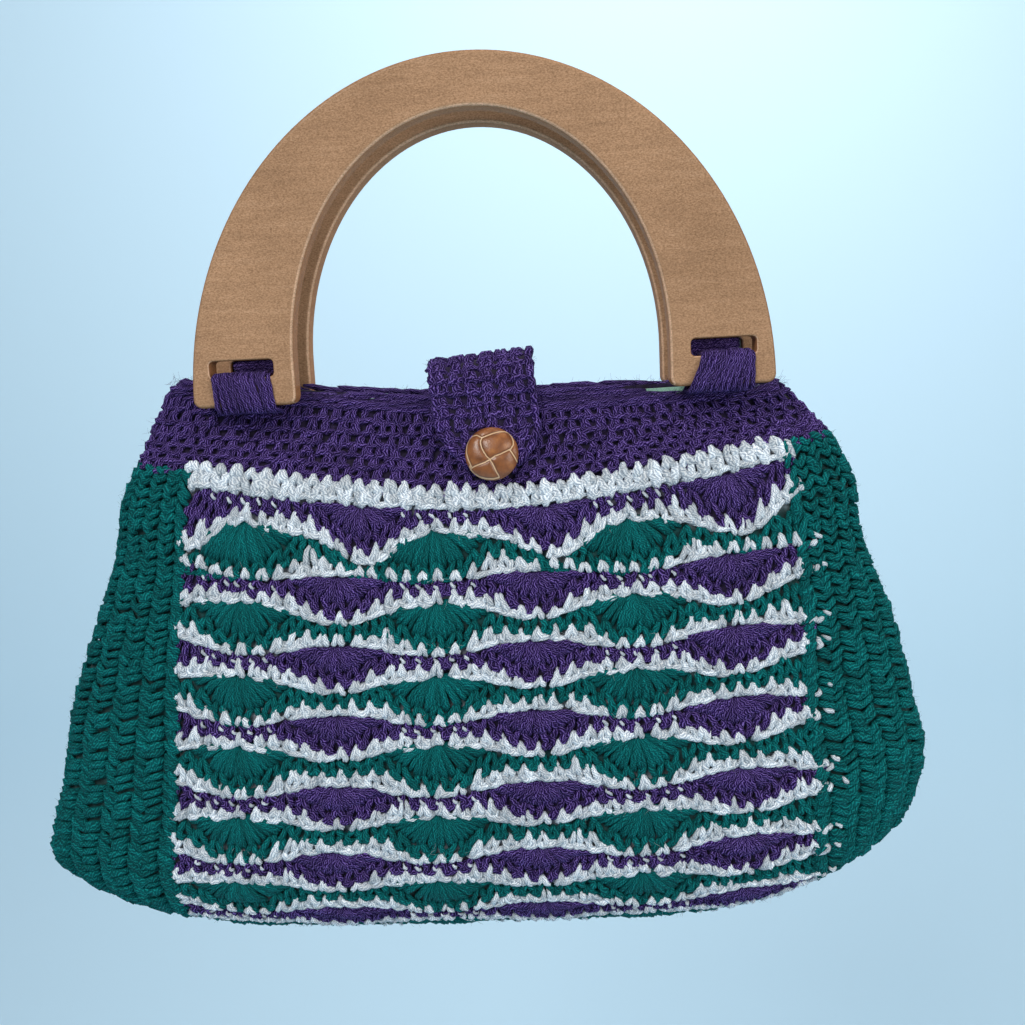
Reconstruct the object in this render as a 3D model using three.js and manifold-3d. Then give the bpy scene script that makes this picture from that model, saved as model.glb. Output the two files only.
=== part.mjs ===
// A crocheted handbag with two wooden D handles, held up by the inner top of the handles.
// Lengths are millimetres. +X is right seen from the front, +Y goes to the back, +Z is up.
// The origin lies under the crowns of both handles, midway between them.

import * as THREE from 'three';
import { mergeVertices } from 'three/addons/utils/BufferGeometryUtils.js';
import Module from 'manifold-3d';

const wasm = await Module();
wasm.setup();

// Clearances
const seatGap = 0.3;
const liningGap = 0.8;

// Wooden handles
const handleWidth = 204;
const handleThickness = 9.5;
const handleSpacing = 17;
const handleEdgeRadius = 1.8;
const crownHeight = 18.1;
const gripHeight = 97;
const gripStraight = 15.1;
const legWidth = 36.5;
const footCornerRadius = 3;

// Slots in the handle feet
const slotWidth = 22.6;
const slotHeight = 6;
const slotCornerRadius = 1.5;
const slotRailHeight = 10.2;
const slotInset = 18;

// Yarn loops through the slots
const loopThickness = 1.8;
const loopSideRoom = 0.9;

// Crocheted bag
const fabricWall = 3;
const bandHeight = 33.5;
const bodyHeight = 168;
const bagDepth = 54;
const mouthDrop = 2;
const mouthOverhangLeft = 11.6;
const mouthOverhangRight = 4.4;
const flareLeft = 64;
const flareRight = 51.5;
const mouthGape = 5;
const mouthGapeMargin = 3.5;
const backRise = 4.6;
const liftSoftShare = 0.2;

// Lining
const liningWall = 1;
const liningDrop = 1.6;

// Closure tab
const tabWidth = 35.5;
const tabThickness = 3;
const tabRise = 14;
const tabTipWidth = 17;
const tabCrownShare = 0.6;
const tabCrownFall = 0.9;
const tabLean = 2.2;
const tabSlantShare = 0.1;
const tabTipShare = 0.72;

// Button
const buttonRadius = 9.4;
const buttonHeight = 5.4;
const buttonRimShare = 0.3;
const buttonShare = 0.62;
const shankRadius = 1.7;
const buttonholeWidth = 11;
const buttonholeHeight = 4.6;

// Facets
const outerArcSteps = 38;
const innerArcSteps = 26;
const cornerSteps = 3;
const panelColumns = 14;
const gussetColumns = 12;
const bandColumns = 56;
const liningColumns = 26;
const rowsPerSection = 2;
const bendSteps = 4;
const tabSteps = 26;
const buttonSides = 28;
const buttonArcSteps = 6;

// Heights that the pieces share
const footBottom = -gripHeight;
const gripHalfWidth = handleWidth / 2 - legWidth;
const slotFloor = footBottom + slotRailHeight;
const mouthHeight = footBottom - mouthDrop;
const mouthHalfDepth = handleSpacing / 2 - 2 * seatGap - loopThickness;
const gapeHalfSpan = gripHalfWidth - mouthGapeMargin;
const bagHeight = bandHeight + bodyHeight;

// The bag's horizontal sections, from the mouth to the fold along the bottom, as shares:
// band and body of their own heights; left and right of the flare on that side; the lifts of the
// ends and their curl as a power; squeeze of the depth between the handles and depth of the bag's;
// blunt is the power of the section's ends; gape and rise of the mouth's; seams of the half width.
const sectionColumns = ['band', 'body', 'left', 'right', 'liftLeft', 'liftRight', 'curl',
  'squeeze', 'depth', 'blunt', 'gape', 'rise', 'seamLeft', 'seamRight'];
const sectionRows = [
  [0.00, 0.00, 0.00, 0.00, 0.061, 0.000, 1.00, 1, 0.00, 5.0, 1.00, 1.0, 0.830, 0.830],
  [0.45, 0.00, 0.15, 0.22, 0.050, 0.015, 1.00, 0.6, 0.20, 4.2, 0.85, 0.6, 0.830, 0.830],
  [1.00, 0.00, 0.25, 0.34, 0.075, 0.075, 1.00, 0, 0.56, 3.4, 0.40, 0.3, 0.827, 0.837],
  [1.00, 0.09, 0.36, 0.50, 0.078, 0.066, 2.00, 0, 0.70, 3.0, 0.10, 0.1, 0.810, 0.815],
  [1.00, 0.18, 0.41, 0.54, 0.065, 0.050, 2.60, 0, 0.83, 2.8, 0, 0, 0.800, 0.817],
  [1.00, 0.35, 0.58, 0.75, 0.070, 0.048, 3.10, 0, 0.95, 2.6, 0, 0, 0.769, 0.763],
  [1.00, 0.51, 0.76, 0.88, 0.063, 0.055, 3.60, 0, 1.00, 2.6, 0, 0, 0.724, 0.726],
  [1.00, 0.67, 0.86, 1.00, 0.055, 0.055, 4.00, 0, 0.99, 2.6, 0, 0, 0.718, 0.723],
  [1.00, 0.81, 0.97, 0.95, 0.065, 0.090, 4.50, 0, 0.90, 2.6, 0, 0, 0.710, 0.733],
  [1.00, 0.90, 1.00, 0.86, 0.085, 0.110, 4.30, 0, 0.70, 2.6, 0, 0, 0.700, 0.765],
  [1.00, 0.96, 0.91, 0.73, 0.102, 0.135, 4.00, 0, 0.43, 2.6, 0, 0, 0.725, 0.810],
  [1.00, 1.00, 0.77, 0.65, 0.101, 0.148, 3.80, 0, 0.00, 2.6, 0, 0, 0.764, 0.835],
];
const bandEnd = 2;
const foldRow = sectionRows.length - 1;

// The same section past the fold, on the other side of the bag
const mirroredRow = sectionRows[foldRow - 1].slice();
mirroredRow[sectionColumns.indexOf('depth')] *= -1;

function tableRow(index) {
  if (index > foldRow) return mirroredRow;
  return sectionRows[Math.max(index, 0)];
}

// Shares at a place between two rows of the table, on a smooth curve through the rows
function shareAt(column, place) {
  const index = Math.min(Math.floor(place), foldRow - 1);
  const t = place - index;
  const key = sectionColumns.indexOf(column);
  const [before, start, end, after] = [-1, 0, 1, 2].map((step) => tableRow(index + step)[key]);
  const startSlope = (end - before) / 2;
  const endSlope = (after - start) / 2;
  const t2 = t * t;
  const t3 = t2 * t;
  return (2 * t3 - 3 * t2 + 1) * start + (t3 - 2 * t2 + t) * startSlope
    + (3 * t2 - 2 * t3) * end + (t3 - t2) * endSlope;
}

// Depth from the middle plane to the face, and height, on the line down the middle of the front
function middleProfile(place) {
  const depth = shareAt('squeeze', place) * mouthHalfDepth + shareAt('depth', place) * bagDepth / 2;
  const height = mouthHeight - shareAt('band', place) * bandHeight
    - shareAt('body', place) * bodyHeight;
  return new THREE.Vector2(depth, height);
}

// The wall's inward direction on that line, by a small step to each side
function inwardDirection(place) {
  const step = 0.01;
  if (place >= foldRow) return new THREE.Vector2(0, 1);
  const below = middleProfile(Math.min(place + step, foldRow));
  const along = below.sub(middleProfile(Math.max(place - step, 0))).normalize();
  return new THREE.Vector2(along.y, -along.x);
}

// One horizontal section of the surface that lies a given distance inside the bag's face
function bagSection(place, inset) {
  const middle = middleProfile(place).addScaledVector(inwardDirection(place), inset);
  const mouthLeft = handleWidth / 2 + mouthOverhangLeft;
  const mouthRight = handleWidth / 2 + mouthOverhangRight;
  return {
    depth: middle.x,
    height: middle.y,
    left: mouthLeft + shareAt('left', place) * flareLeft - inset,
    right: mouthRight + shareAt('right', place) * flareRight - inset,
    liftLeft: shareAt('liftLeft', place) * bagHeight,
    liftRight: shareAt('liftRight', place) * bagHeight,
    curl: shareAt('curl', place),
    blunt: shareAt('blunt', place),
    gape: shareAt('gape', place) * mouthGape,
    rise: shareAt('rise', place) * backRise,
  };
}

// A point of a section. The angle starts at the right-hand end and runs over the front.
function bagPoint(place, angle, inset) {
  const section = bagSection(place, inset);
  const across = Math.cos(angle);
  const x = across * (across < 0 ? section.left : section.right);
  const open = Math.abs(x) < gapeHalfSpan ? (1 + Math.cos(Math.PI * x / gapeHalfSpan)) / 2 : 0;
  const bulge = Math.sqrt(1 - Math.min(1, Math.abs(across)) ** section.blunt);
  const front = place >= foldRow ? 0 : Math.sign(Math.sin(angle)) * bulge;
  const bent = (Math.hypot(across, liftSoftShare) - liftSoftShare)
    / (Math.hypot(1, liftSoftShare) - liftSoftShare);
  const lift = (across < 0 ? section.liftLeft : section.liftRight) * bent ** section.curl;
  const rise = section.rise * (1 + across) * (1 - front) / 4;
  return new THREE.Vector3(x, -front * (section.depth + open * section.gape),
    section.height + lift + rise);
}

// The angle of the front point at a given x
function angleAt(place, x, inset) {
  const section = bagSection(place, inset);
  return Math.acos(x / (x < 0 ? section.left : section.right));
}

// Where the panel meets the gusset on one side, as x
function seamX(place, side) {
  const section = bagSection(place, 0);
  if (side < 0) return -shareAt('seamLeft', place) * section.left;
  return shareAt('seamRight', place) * section.right;
}

function placesBetween(first, last) {
  const count = Math.round((last - first) * rowsPerSection);
  return Array.from({ length: count + 1 }, (_, i) => first + (last - first) * i / count);
}

// A closed wall between an outer and an inner grid of points. Rims close the edges that are named.
function wallGeometry(outer, inner, { ring = false, top = true, bottom = true, sides = true }) {
  const positions = [];
  const quad = (a, b, c, d) => {
    for (const corner of [a, b, c, a, c, d]) positions.push(corner.x, corner.y, corner.z);
  };
  const lastRow = outer.length - 1;
  const columns = outer[0].length;
  const steps = ring ? columns : columns - 1;
  for (let column = 0; column < steps; column += 1) {
    const next = (column + 1) % columns;
    for (let row = 0; row < lastRow; row += 1) {
      quad(outer[row][column], outer[row + 1][column], outer[row + 1][next], outer[row][next]);
      quad(inner[row][column], inner[row][next], inner[row + 1][next], inner[row + 1][column]);
    }
    if (top) quad(inner[0][column], outer[0][column], outer[0][next], inner[0][next]);
    if (bottom) {
      quad(outer[lastRow][column], inner[lastRow][column], inner[lastRow][next], outer[lastRow][next]);
    }
  }
  for (let row = 0; sides && row < lastRow; row += 1) {
    const end = columns - 1;
    quad(outer[row][0], inner[row][0], inner[row + 1][0], outer[row + 1][0]);
    quad(inner[row][end], outer[row][end], outer[row + 1][end], inner[row + 1][end]);
  }
  const geometry = new THREE.BufferGeometry();
  geometry.setAttribute('position', new THREE.Float32BufferAttribute(positions, 3));
  return mergeVertices(geometry, 1e-4);
}

// Manifold solids and back
function toSolid(geometry) {
  const bare = geometry.clone();
  bare.deleteAttribute('normal');
  bare.deleteAttribute('uv');
  const merged = mergeVertices(bare, 1e-4);
  return new wasm.Manifold(new wasm.Mesh({
    numProp: 3,
    vertProperties: new Float32Array(merged.attributes.position.array),
    triVerts: new Uint32Array(merged.index.array),
  }));
}

function fromSolid(solid) {
  const mesh = solid.getMesh();
  const geometry = new THREE.BufferGeometry();
  geometry.setAttribute('position', new THREE.BufferAttribute(new Float32Array(mesh.vertProperties), 3));
  geometry.setIndex(new THREE.BufferAttribute(new Uint32Array(mesh.triVerts), 1));
  return geometry;
}

// Materials
const wood = new THREE.MeshStandardMaterial({ color: 0xa06a3c, roughness: 0.45 });
const violetYarn = new THREE.MeshStandardMaterial({ color: 0x3a1f63, roughness: 0.95 });
const greenYarn = new THREE.MeshStandardMaterial({ color: 0x07694f, roughness: 0.95 });
const whiteYarn = new THREE.MeshStandardMaterial({ color: 0xe4ded6, roughness: 0.95 });
const mintCloth = new THREE.MeshStandardMaterial({ color: 0xa9d3b9, roughness: 0.9 });
const brownLeather = new THREE.MeshStandardMaterial({ color: 0x7a3f16, roughness: 0.35 });

const bag = new THREE.Group();

function addPiece(parent, name, geometry, material) {
  const faceted = geometry.index ? geometry.toNonIndexed() : geometry;
  faceted.computeVertexNormals();
  const mesh = new THREE.Mesh(faceted, material);
  mesh.name = name;
  parent.add(mesh);
  return mesh;
}

// Handles: an arch between two half ellipses on straight feet, with a slot through each foot
function arcPoints(centreX, centreZ, radiusX, radiusZ, from, to, steps) {
  return Array.from({ length: steps + 1 }, (_, i) => {
    const angle = from + (to - from) * i / steps;
    return new THREE.Vector2(centreX + radiusX * Math.cos(angle), centreZ + radiusZ * Math.sin(angle));
  });
}

function handleOutline() {
  const radius = footCornerRadius;
  const outerX = handleWidth / 2;
  const quarter = Math.PI / 2;
  const corner = (x, from) => arcPoints(x, footBottom + radius, radius, radius, from, from - quarter,
    cornerSteps);
  const start = Math.asin(radius / (gripHeight + crownHeight));
  const outerArc = arcPoints(0, footBottom, outerX, gripHeight + crownHeight,
    Math.PI - start, start, outerArcSteps);
  const innerArc = arcPoints(0, footBottom + gripStraight, gripHalfWidth, gripHeight - gripStraight,
    0, Math.PI, innerArcSteps);
  return [
    ...outerArc,
    ...corner(outerX - radius, 0).slice(1),
    ...corner(gripHalfWidth + radius, -quarter),
    ...innerArc,
    ...corner(-gripHalfWidth - radius, 0),
    ...corner(-outerX + radius, -quarter).slice(0, -1),
  ];
}

function slotOutline(side) {
  const radius = slotCornerRadius;
  const right = slotWidth / 2 - radius;
  const low = slotFloor + radius;
  const high = slotFloor + slotHeight - radius;
  const centreX = side * (handleWidth / 2 - slotInset);
  const quarter = Math.PI / 2;
  const corners = [[right, low, -1], [right, high, 0], [-right, high, 1], [-right, low, 2]];
  return corners.flatMap(([x, z, turn]) => (
    arcPoints(centreX + x, z, radius, radius, turn * quarter, (turn + 1) * quarter, cornerSteps)));
}

// Shape x and y become the row's X and Z, and the extrusion runs along -Y
const standUpright = new THREE.Matrix4().makeRotationX(Math.PI / 2);

function handleGeometry() {
  const shape = new THREE.Shape(handleOutline());
  shape.holes = [-1, 1].map((side) => new THREE.Path(slotOutline(side)));
  const geometry = new THREE.ExtrudeGeometry(shape, {
    depth: handleThickness - 2 * handleEdgeRadius,
    bevelThickness: handleEdgeRadius,
    bevelSize: handleEdgeRadius,
    bevelOffset: -handleEdgeRadius,
    bevelSegments: 2,
  });
  geometry.translate(0, 0, handleEdgeRadius - handleThickness / 2);
  return geometry.applyMatrix4(standUpright);
}

const handleY = (handleSpacing + handleThickness) / 2;
addPiece(bag, 'handle_front', handleGeometry(), wood).position.y = -handleY;
addPiece(bag, 'handle_back', handleGeometry(), wood).position.y = handleY;

// Loops: a strap of yarn up behind each foot, through its slot, down its face and under it
function strapOutline(points, thickness) {
  const last = points.length - 1;
  const sides = [[], []];
  points.forEach((point, i) => {
    const along = points[Math.min(i + 1, last)].clone().sub(points[Math.max(i - 1, 0)]).normalize();
    const across = new THREE.Vector2(-along.y, along.x).multiplyScalar(thickness / 2);
    sides[0].push(point.clone().add(across));
    sides[1].unshift(point.clone().sub(across));
  });
  return new THREE.Shape([...sides[0], ...sides[1]]);
}

// Shape x and y become the row's Y and Z, and the extrusion runs along +X
const standSideways = new THREE.Matrix4().makeBasis(
  new THREE.Vector3(0, 1, 0), new THREE.Vector3(0, 0, 1), new THREE.Vector3(1, 0, 0));

// The face of the band at a given x, at its top edge or at the first place below a given height
function bandFaceAt(x, face, height = Infinity) {
  const step = 0.05;
  let place = 0;
  let point = bagPoint(place, face * angleAt(place, x, 0), 0);
  while (point.z > height && place < bandEnd) {
    place += step;
    point = bagPoint(place, face * angleAt(place, x, 0), 0);
  }
  return point;
}

function placesAcross(centreX, width) {
  return [-1, 0, 1].map((step) => centreX + step * width / 2);
}

// The angle at which a straight line from a point meets a circle, on the circle's upper left
function tangentAngle(centre, radius, point) {
  const away = point.clone().sub(centre);
  const turn = Math.atan2(away.y, away.x);
  return (turn < 0 ? turn + 2 * Math.PI : turn) - Math.acos(radius / away.length());
}

// The strap's middle line, in the distance from the bag's middle plane and the height
function loopMiddleLine(centreX, face) {
  const stand = seatGap + loopThickness / 2;
  const radius = handleEdgeRadius + stand;
  const innerY = handleSpacing / 2 + handleEdgeRadius;
  const outerY = innerY + handleThickness - 2 * handleEdgeRadius;
  const topZ = slotFloor - handleEdgeRadius;
  const bottomZ = footBottom + handleEdgeRadius;
  const acrossLoop = placesAcross(centreX, slotWidth);
  const edges = acrossLoop.map((x) => bandFaceAt(x, face));
  const seat = new THREE.Vector2(
    Math.max(...edges.map((edge) => Math.abs(edge.y))) - loopThickness / 2,
    Math.max(...edges.map((edge) => edge.z)) + seatGap + loopThickness / 2);
  const underZ = footBottom - stand - loopThickness / 2;
  const unders = acrossLoop.map((x) => Math.abs(bandFaceAt(x, face, underZ).y));
  const tuck = new THREE.Vector2(Math.max(...unders) + seatGap, bottomZ - radius);
  const innerTop = new THREE.Vector2(innerY, topZ);
  const quarter = Math.PI / 2;
  return [
    seat,
    ...arcPoints(innerY, topZ, radius, radius, tangentAngle(innerTop, radius, seat), quarter,
      bendSteps),
    ...arcPoints(outerY, topZ, radius, radius, quarter, 0, bendSteps),
    ...arcPoints(outerY, bottomZ, radius, radius, 0, -quarter, bendSteps),
    tuck,
  ].map((point) => new THREE.Vector2(-face * point.x, point.y));
}

function loopGeometry({ side, face, narrowing, spread }) {
  const centreX = side * (handleWidth / 2 - slotInset);
  const width = slotWidth - 2 * loopSideRoom - narrowing;
  const outline = strapOutline(loopMiddleLine(centreX, face), loopThickness);
  const geometry = new THREE.ExtrudeGeometry(outline, { depth: width, bevelEnabled: false });
  geometry.applyMatrix4(standSideways);
  const far = slotWidth / 2 - loopSideRoom;
  geometry.translate(side > 0 ? centreX + far - width : centreX - far, 0, 0);
  const spot = geometry.attributes.position;
  for (let i = 0; i < spot.count; i += 1) {
    const inward = Math.abs(spot.getX(i)) < Math.abs(centreX) ? 1 : 0;
    const down = Math.max(0, (slotFloor - spot.getZ(i)) / slotRailHeight);
    spot.setX(i, spot.getX(i) - side * spread * inward * down);
  }
  return geometry;
}

const loops = [
  { name: 'loop_front_left', side: -1, face: 1, narrowing: 0, spread: 0.6 },
  { name: 'loop_front_right', side: 1, face: 1, narrowing: 2.6, spread: 4 },
  { name: 'loop_back_left', side: -1, face: -1, narrowing: 1, spread: 1 },
  { name: 'loop_back_right', side: 1, face: -1, narrowing: 1, spread: 1 },
];
for (const loop of loops) addPiece(bag, loop.name, loopGeometry(loop), violetYarn);

// Band: a ring round the mouth
function ringRow(place, columns, inset) {
  return Array.from({ length: columns }, (_, i) => bagPoint(place, -2 * Math.PI * i / columns, inset));
}

function bandGrid(inset) {
  const rows = placesBetween(0, bandEnd).map((place) => ringRow(place, bandColumns, inset));
  for (const point of rows[rows.length - 1]) point.z += seatGap;
  return rows;
}

addPiece(bag, 'band', wallGeometry(bandGrid(0), bandGrid(fabricWall), { ring: true, sides: false }),
  violetYarn);

// Patterned panel: one strip down the front, under the bottom and up the back
function panelRow(place, face, inset) {
  const left = seamX(place, -1) + seatGap / 2;
  const right = seamX(place, 1) - seatGap / 2;
  return Array.from({ length: panelColumns + 1 }, (_, i) => {
    const x = left + (right - left) * i / panelColumns;
    return bagPoint(place, face * angleAt(place, x, inset), inset);
  });
}

function panelGrid(inset) {
  const places = placesBetween(bandEnd, foldRow);
  const front = places.map((place) => panelRow(place, 1, inset));
  const back = places.slice(0, -1).reverse().map((place) => panelRow(place, -1, inset));
  return [...front, ...back];
}

addPiece(bag, 'patterned_panel', wallGeometry(panelGrid(0), panelGrid(fabricWall), {}), whiteYarn);

// Gussets: one round each side, zipped along the fold at the bottom
function gussetGrid(side, inset) {
  return placesBetween(bandEnd, foldRow).map((place) => {
    const seam = angleAt(place, seamX(place, side) + side * seatGap / 2, inset);
    const from = side < 0 ? 2 * Math.PI - seam : seam;
    const to = side < 0 ? seam : -seam;
    return Array.from({ length: gussetColumns + 1 }, (_, i) => (
      bagPoint(place, from + (to - from) * i / gussetColumns, inset)));
  });
}

for (const [name, side] of [['gusset_left', -1], ['gusset_right', 1]]) {
  addPiece(bag, name, wallGeometry(gussetGrid(side, 0), gussetGrid(side, fabricWall), { bottom: false }),
    greenYarn);
}

// Lining: a thin pouch inside the crochet, open at the mouth
function liningGrid(inset) {
  const places = [0, ...placesBetween(1, foldRow)];
  const rows = places.map((place) => ringRow(place, liningColumns, inset));
  for (const point of rows[0]) point.z -= liningDrop;
  return rows;
}

const liningInset = fabricWall + liningGap;
addPiece(bag, 'lining', wallGeometry(liningGrid(liningInset), liningGrid(liningInset + liningWall),
  { ring: true, bottom: false, sides: false }), mintCloth);

// Closure tab: from the back edge of the mouth over to the front, where the button holds it
function bandFace(share) {
  return bagPoint(bandEnd * share, Math.PI / 2, 0);
}

function tabSideOutline() {
  const stand = seatGap + tabThickness / 2;
  const backEdges = placesAcross(0, tabWidth + 2 * tabLean).map((x) => bandFaceAt(x, -1));
  const rootY = Math.min(...backEdges.map((edge) => edge.y)) - fabricWall / 2;
  const rootZ = Math.max(...backEdges.map((edge) => edge.z)) + seatGap;
  const frontEdge = bandFace(0);
  const top = footBottom + tabRise - tabThickness / 2;
  const frontY = frontEdge.y - stand;
  const root = new THREE.Vector2(rootY, rootZ);
  const points = [
    [rootY, rootZ + seatGap],
    [rootY, (rootZ + top) / 2],
    [rootY * tabCrownShare, top - tabCrownFall],
    [0, top],
    [frontY * tabCrownShare, top - tabCrownFall],
    [frontY, (frontEdge.z + top) / 2],
  ];
  for (const share of [0.07, 0.3, 0.55, 0.8, 1]) {
    const face = bandFace(share * tabTipShare);
    points.push([face.y - stand, face.z]);
  }
  const curve = new THREE.SplineCurve(points.map(([y, z]) => new THREE.Vector2(y, z)));
  return strapOutline([root, ...curve.getPoints(tabSteps)], tabThickness);
}

// The tab seen from the front: straight sides that lean to the right and draw in to a round tip
function tabFrontOutline() {
  const top = footBottom + tabRise + tabThickness;
  const tip = bandFace(tabTipShare).z;
  const shoulder = bandFace(tabTipShare / 2).z;
  const half = tabWidth / 2;
  const tipHalf = tabTipWidth / 2;
  const corner = (shoulder - tip) / 2;
  return new THREE.Shape([
    new THREE.Vector2(-half - tabLean / 2, top),
    new THREE.Vector2(-half + tabLean / 2, shoulder + corner),
    new THREE.Vector2(-half + 1.5 * tabLean, shoulder),
    new THREE.Vector2(-tipHalf + tabLean, shoulder - corner),
    new THREE.Vector2(-tipHalf + 2 * tabLean, tip - tabThickness),
    new THREE.Vector2(tipHalf + tabLean, tip - tabThickness),
    new THREE.Vector2(tipHalf + 2 * tabLean, shoulder - corner),
    new THREE.Vector2(half + tabLean / 2, shoulder - corner / 2),
    new THREE.Vector2(half + tabLean / 2, shoulder + corner),
    new THREE.Vector2(half - tabLean / 2, top),
  ]);
}

// The button's place on the band's face, and the way that face looks
const buttonSpot = bandFace(buttonShare);
buttonSpot.x = tabLean;
const bandSlope = bandFace(buttonShare + 0.1).sub(bandFace(buttonShare - 0.1)).normalize();
const bandLook = new THREE.Vector3(0, bandSlope.z, -bandSlope.y);

function tabGeometry() {
  const reach = tabWidth + 4 * tabLean;
  const side = new THREE.ExtrudeGeometry(tabSideOutline(), { depth: 2 * reach, bevelEnabled: false });
  side.translate(0, 0, -reach);
  side.applyMatrix4(standSideways);
  const front = new THREE.ExtrudeGeometry(tabFrontOutline(), { depth: bagDepth, bevelEnabled: false });
  front.translate(0, 0, -bagDepth / 2);
  front.applyMatrix4(standUpright);
  const hole = new THREE.BoxGeometry(buttonholeWidth, bagDepth, buttonholeHeight);
  const forward = new THREE.Vector3(0, -1, 0);
  hole.applyQuaternion(new THREE.Quaternion().setFromUnitVectors(forward, bandLook));
  const clear = bagDepth / 2;
  const holeSpot = buttonSpot.clone().addScaledVector(bandLook, clear);
  hole.translate(holeSpot.x, holeSpot.y, holeSpot.z);
  const tab = fromSolid(toSolid(side).intersect(toSolid(front)).subtract(toSolid(hole)));
  const spot = tab.attributes.position;
  for (let i = 0; i < spot.count; i += 1) {
    const height = (spot.getZ(i) - footBottom) / tabRise;
    spot.setZ(i, spot.getZ(i) + spot.getX(i) * tabSlantShare * THREE.MathUtils.clamp(height, 0, 1));
  }
  return tab;
}

addPiece(bag, 'closure_tab', tabGeometry(), violetYarn);

// Button: a dome on a shank that passes through the tab to the band
function buttonGeometry() {
  const shankLength = tabThickness + 2 * seatGap;
  const rim = buttonHeight * buttonRimShare;
  const profile = [
    new THREE.Vector2(0, seatGap),
    new THREE.Vector2(shankRadius, seatGap),
    new THREE.Vector2(shankRadius, shankLength),
    new THREE.Vector2(buttonRadius - rim, shankLength),
    ...arcPoints(0, shankLength + rim, buttonRadius, buttonHeight - rim, 0, Math.PI / 2, buttonArcSteps),
  ];
  profile[profile.length - 1].x = 0;
  return new THREE.LatheGeometry(profile, buttonSides);
}

const button = addPiece(bag, 'button', buttonGeometry(), brownLeather);
button.position.copy(buttonSpot);
button.quaternion.setFromUnitVectors(new THREE.Vector3(0, 1, 0), bandLook);

export default bag;
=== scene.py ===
import math

import bmesh
import bpy
import numpy as np
from mathutils import Matrix, Vector


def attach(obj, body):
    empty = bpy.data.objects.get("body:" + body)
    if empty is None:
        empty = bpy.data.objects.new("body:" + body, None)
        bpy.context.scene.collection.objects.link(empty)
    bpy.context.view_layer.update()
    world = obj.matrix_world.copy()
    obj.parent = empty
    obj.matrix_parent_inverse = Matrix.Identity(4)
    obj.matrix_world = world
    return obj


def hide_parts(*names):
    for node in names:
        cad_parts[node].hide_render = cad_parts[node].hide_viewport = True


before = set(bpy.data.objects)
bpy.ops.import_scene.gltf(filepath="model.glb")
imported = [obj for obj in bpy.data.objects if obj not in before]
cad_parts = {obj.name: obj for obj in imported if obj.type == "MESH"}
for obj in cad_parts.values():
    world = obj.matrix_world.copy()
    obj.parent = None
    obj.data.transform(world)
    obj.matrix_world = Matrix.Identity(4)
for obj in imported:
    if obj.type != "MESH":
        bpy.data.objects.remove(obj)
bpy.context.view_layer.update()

# The camera: held in front of the mouth, a little to the right, looking down at the bag.
# It is turned slightly, as a hand-held picture is.
camera_place = Vector((0.0203, -0.3898, -0.0846))
camera_turn = math.radians(-1.83)
camera_dip = math.radians(8.25)
camera_roll = math.radians(-2.74)
ahead = Vector((math.sin(camera_turn) * math.cos(camera_dip),
                math.cos(camera_turn) * math.cos(camera_dip), -math.sin(camera_dip)))
level = ahead.cross(Vector((0, 0, 1))).normalized()
upward = level.cross(ahead)
picture_right = level * math.cos(camera_roll) + upward * math.sin(camera_roll)
picture_up = upward * math.cos(camera_roll) - level * math.sin(camera_roll)
lens = bpy.data.cameras.new("camera")
lens.sensor_width = 36
lens.lens = 37.3
camera = bpy.data.objects.new("camera", lens)
camera.matrix_world = Matrix.Translation(camera_place) @ Matrix(
    (picture_right, picture_up, -ahead)).transposed().to_4x4()
bpy.context.scene.collection.objects.link(camera)
bpy.context.scene.camera = camera

# The studio: one pale sheet, a floor that curves up into a wall far behind the bag.
# Soft lamps stand at the upper left and at the right, a third lights the wall behind the bag, and
# the pale room fills the shade.
sheet = bmesh.new()
sheet_line = [(-2.5, -1.0), (0.55, -1.0)]
for step in range(1, 13):
    bend = math.pi / 2 * step / 12
    sheet_line.append((0.55 + 0.45 * math.sin(bend), -0.55 - 0.45 * math.cos(bend)))
sheet_line.append((1.0, 2.2))
sheet_points = [sheet.verts.new((-3, y, z)) for y, z in sheet_line]
sheet_edges = [sheet.edges.new(pair) for pair in zip(sheet_points, sheet_points[1:])]
swept = bmesh.ops.extrude_edge_only(sheet, edges=sheet_edges)["geom"]
bmesh.ops.translate(sheet, vec=(6, 0, 0), verts=[v for v in swept if isinstance(v, bmesh.types.BMVert)])
bmesh.ops.recalc_face_normals(sheet, faces=sheet.faces)
for face in sheet.faces:
    face.smooth = True
sheet_mesh = bpy.data.meshes.new("studio_sheet")
sheet.to_mesh(sheet_mesh)
sheet.free()
studio_sheet = bpy.data.objects.new("studio_sheet", sheet_mesh)
bpy.context.scene.collection.objects.link(studio_sheet)


def finished(name, **values):
    """A new material, its nodes and its shader, whose inputs get the values named"""
    finish = bpy.data.materials.new(name)
    finish.use_nodes = True
    shader = finish.node_tree.nodes["Principled BSDF"]
    for key, value in values.items():
        shader.inputs[key.replace("_", " ")].default_value = value
    return finish, finish.node_tree, shader


paper, _, _ = finished("pale_paper", Base_Color=(0.60, 0.80, 0.92, 1), Roughness=0.9)
sheet_mesh.materials.append(paper)

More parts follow.
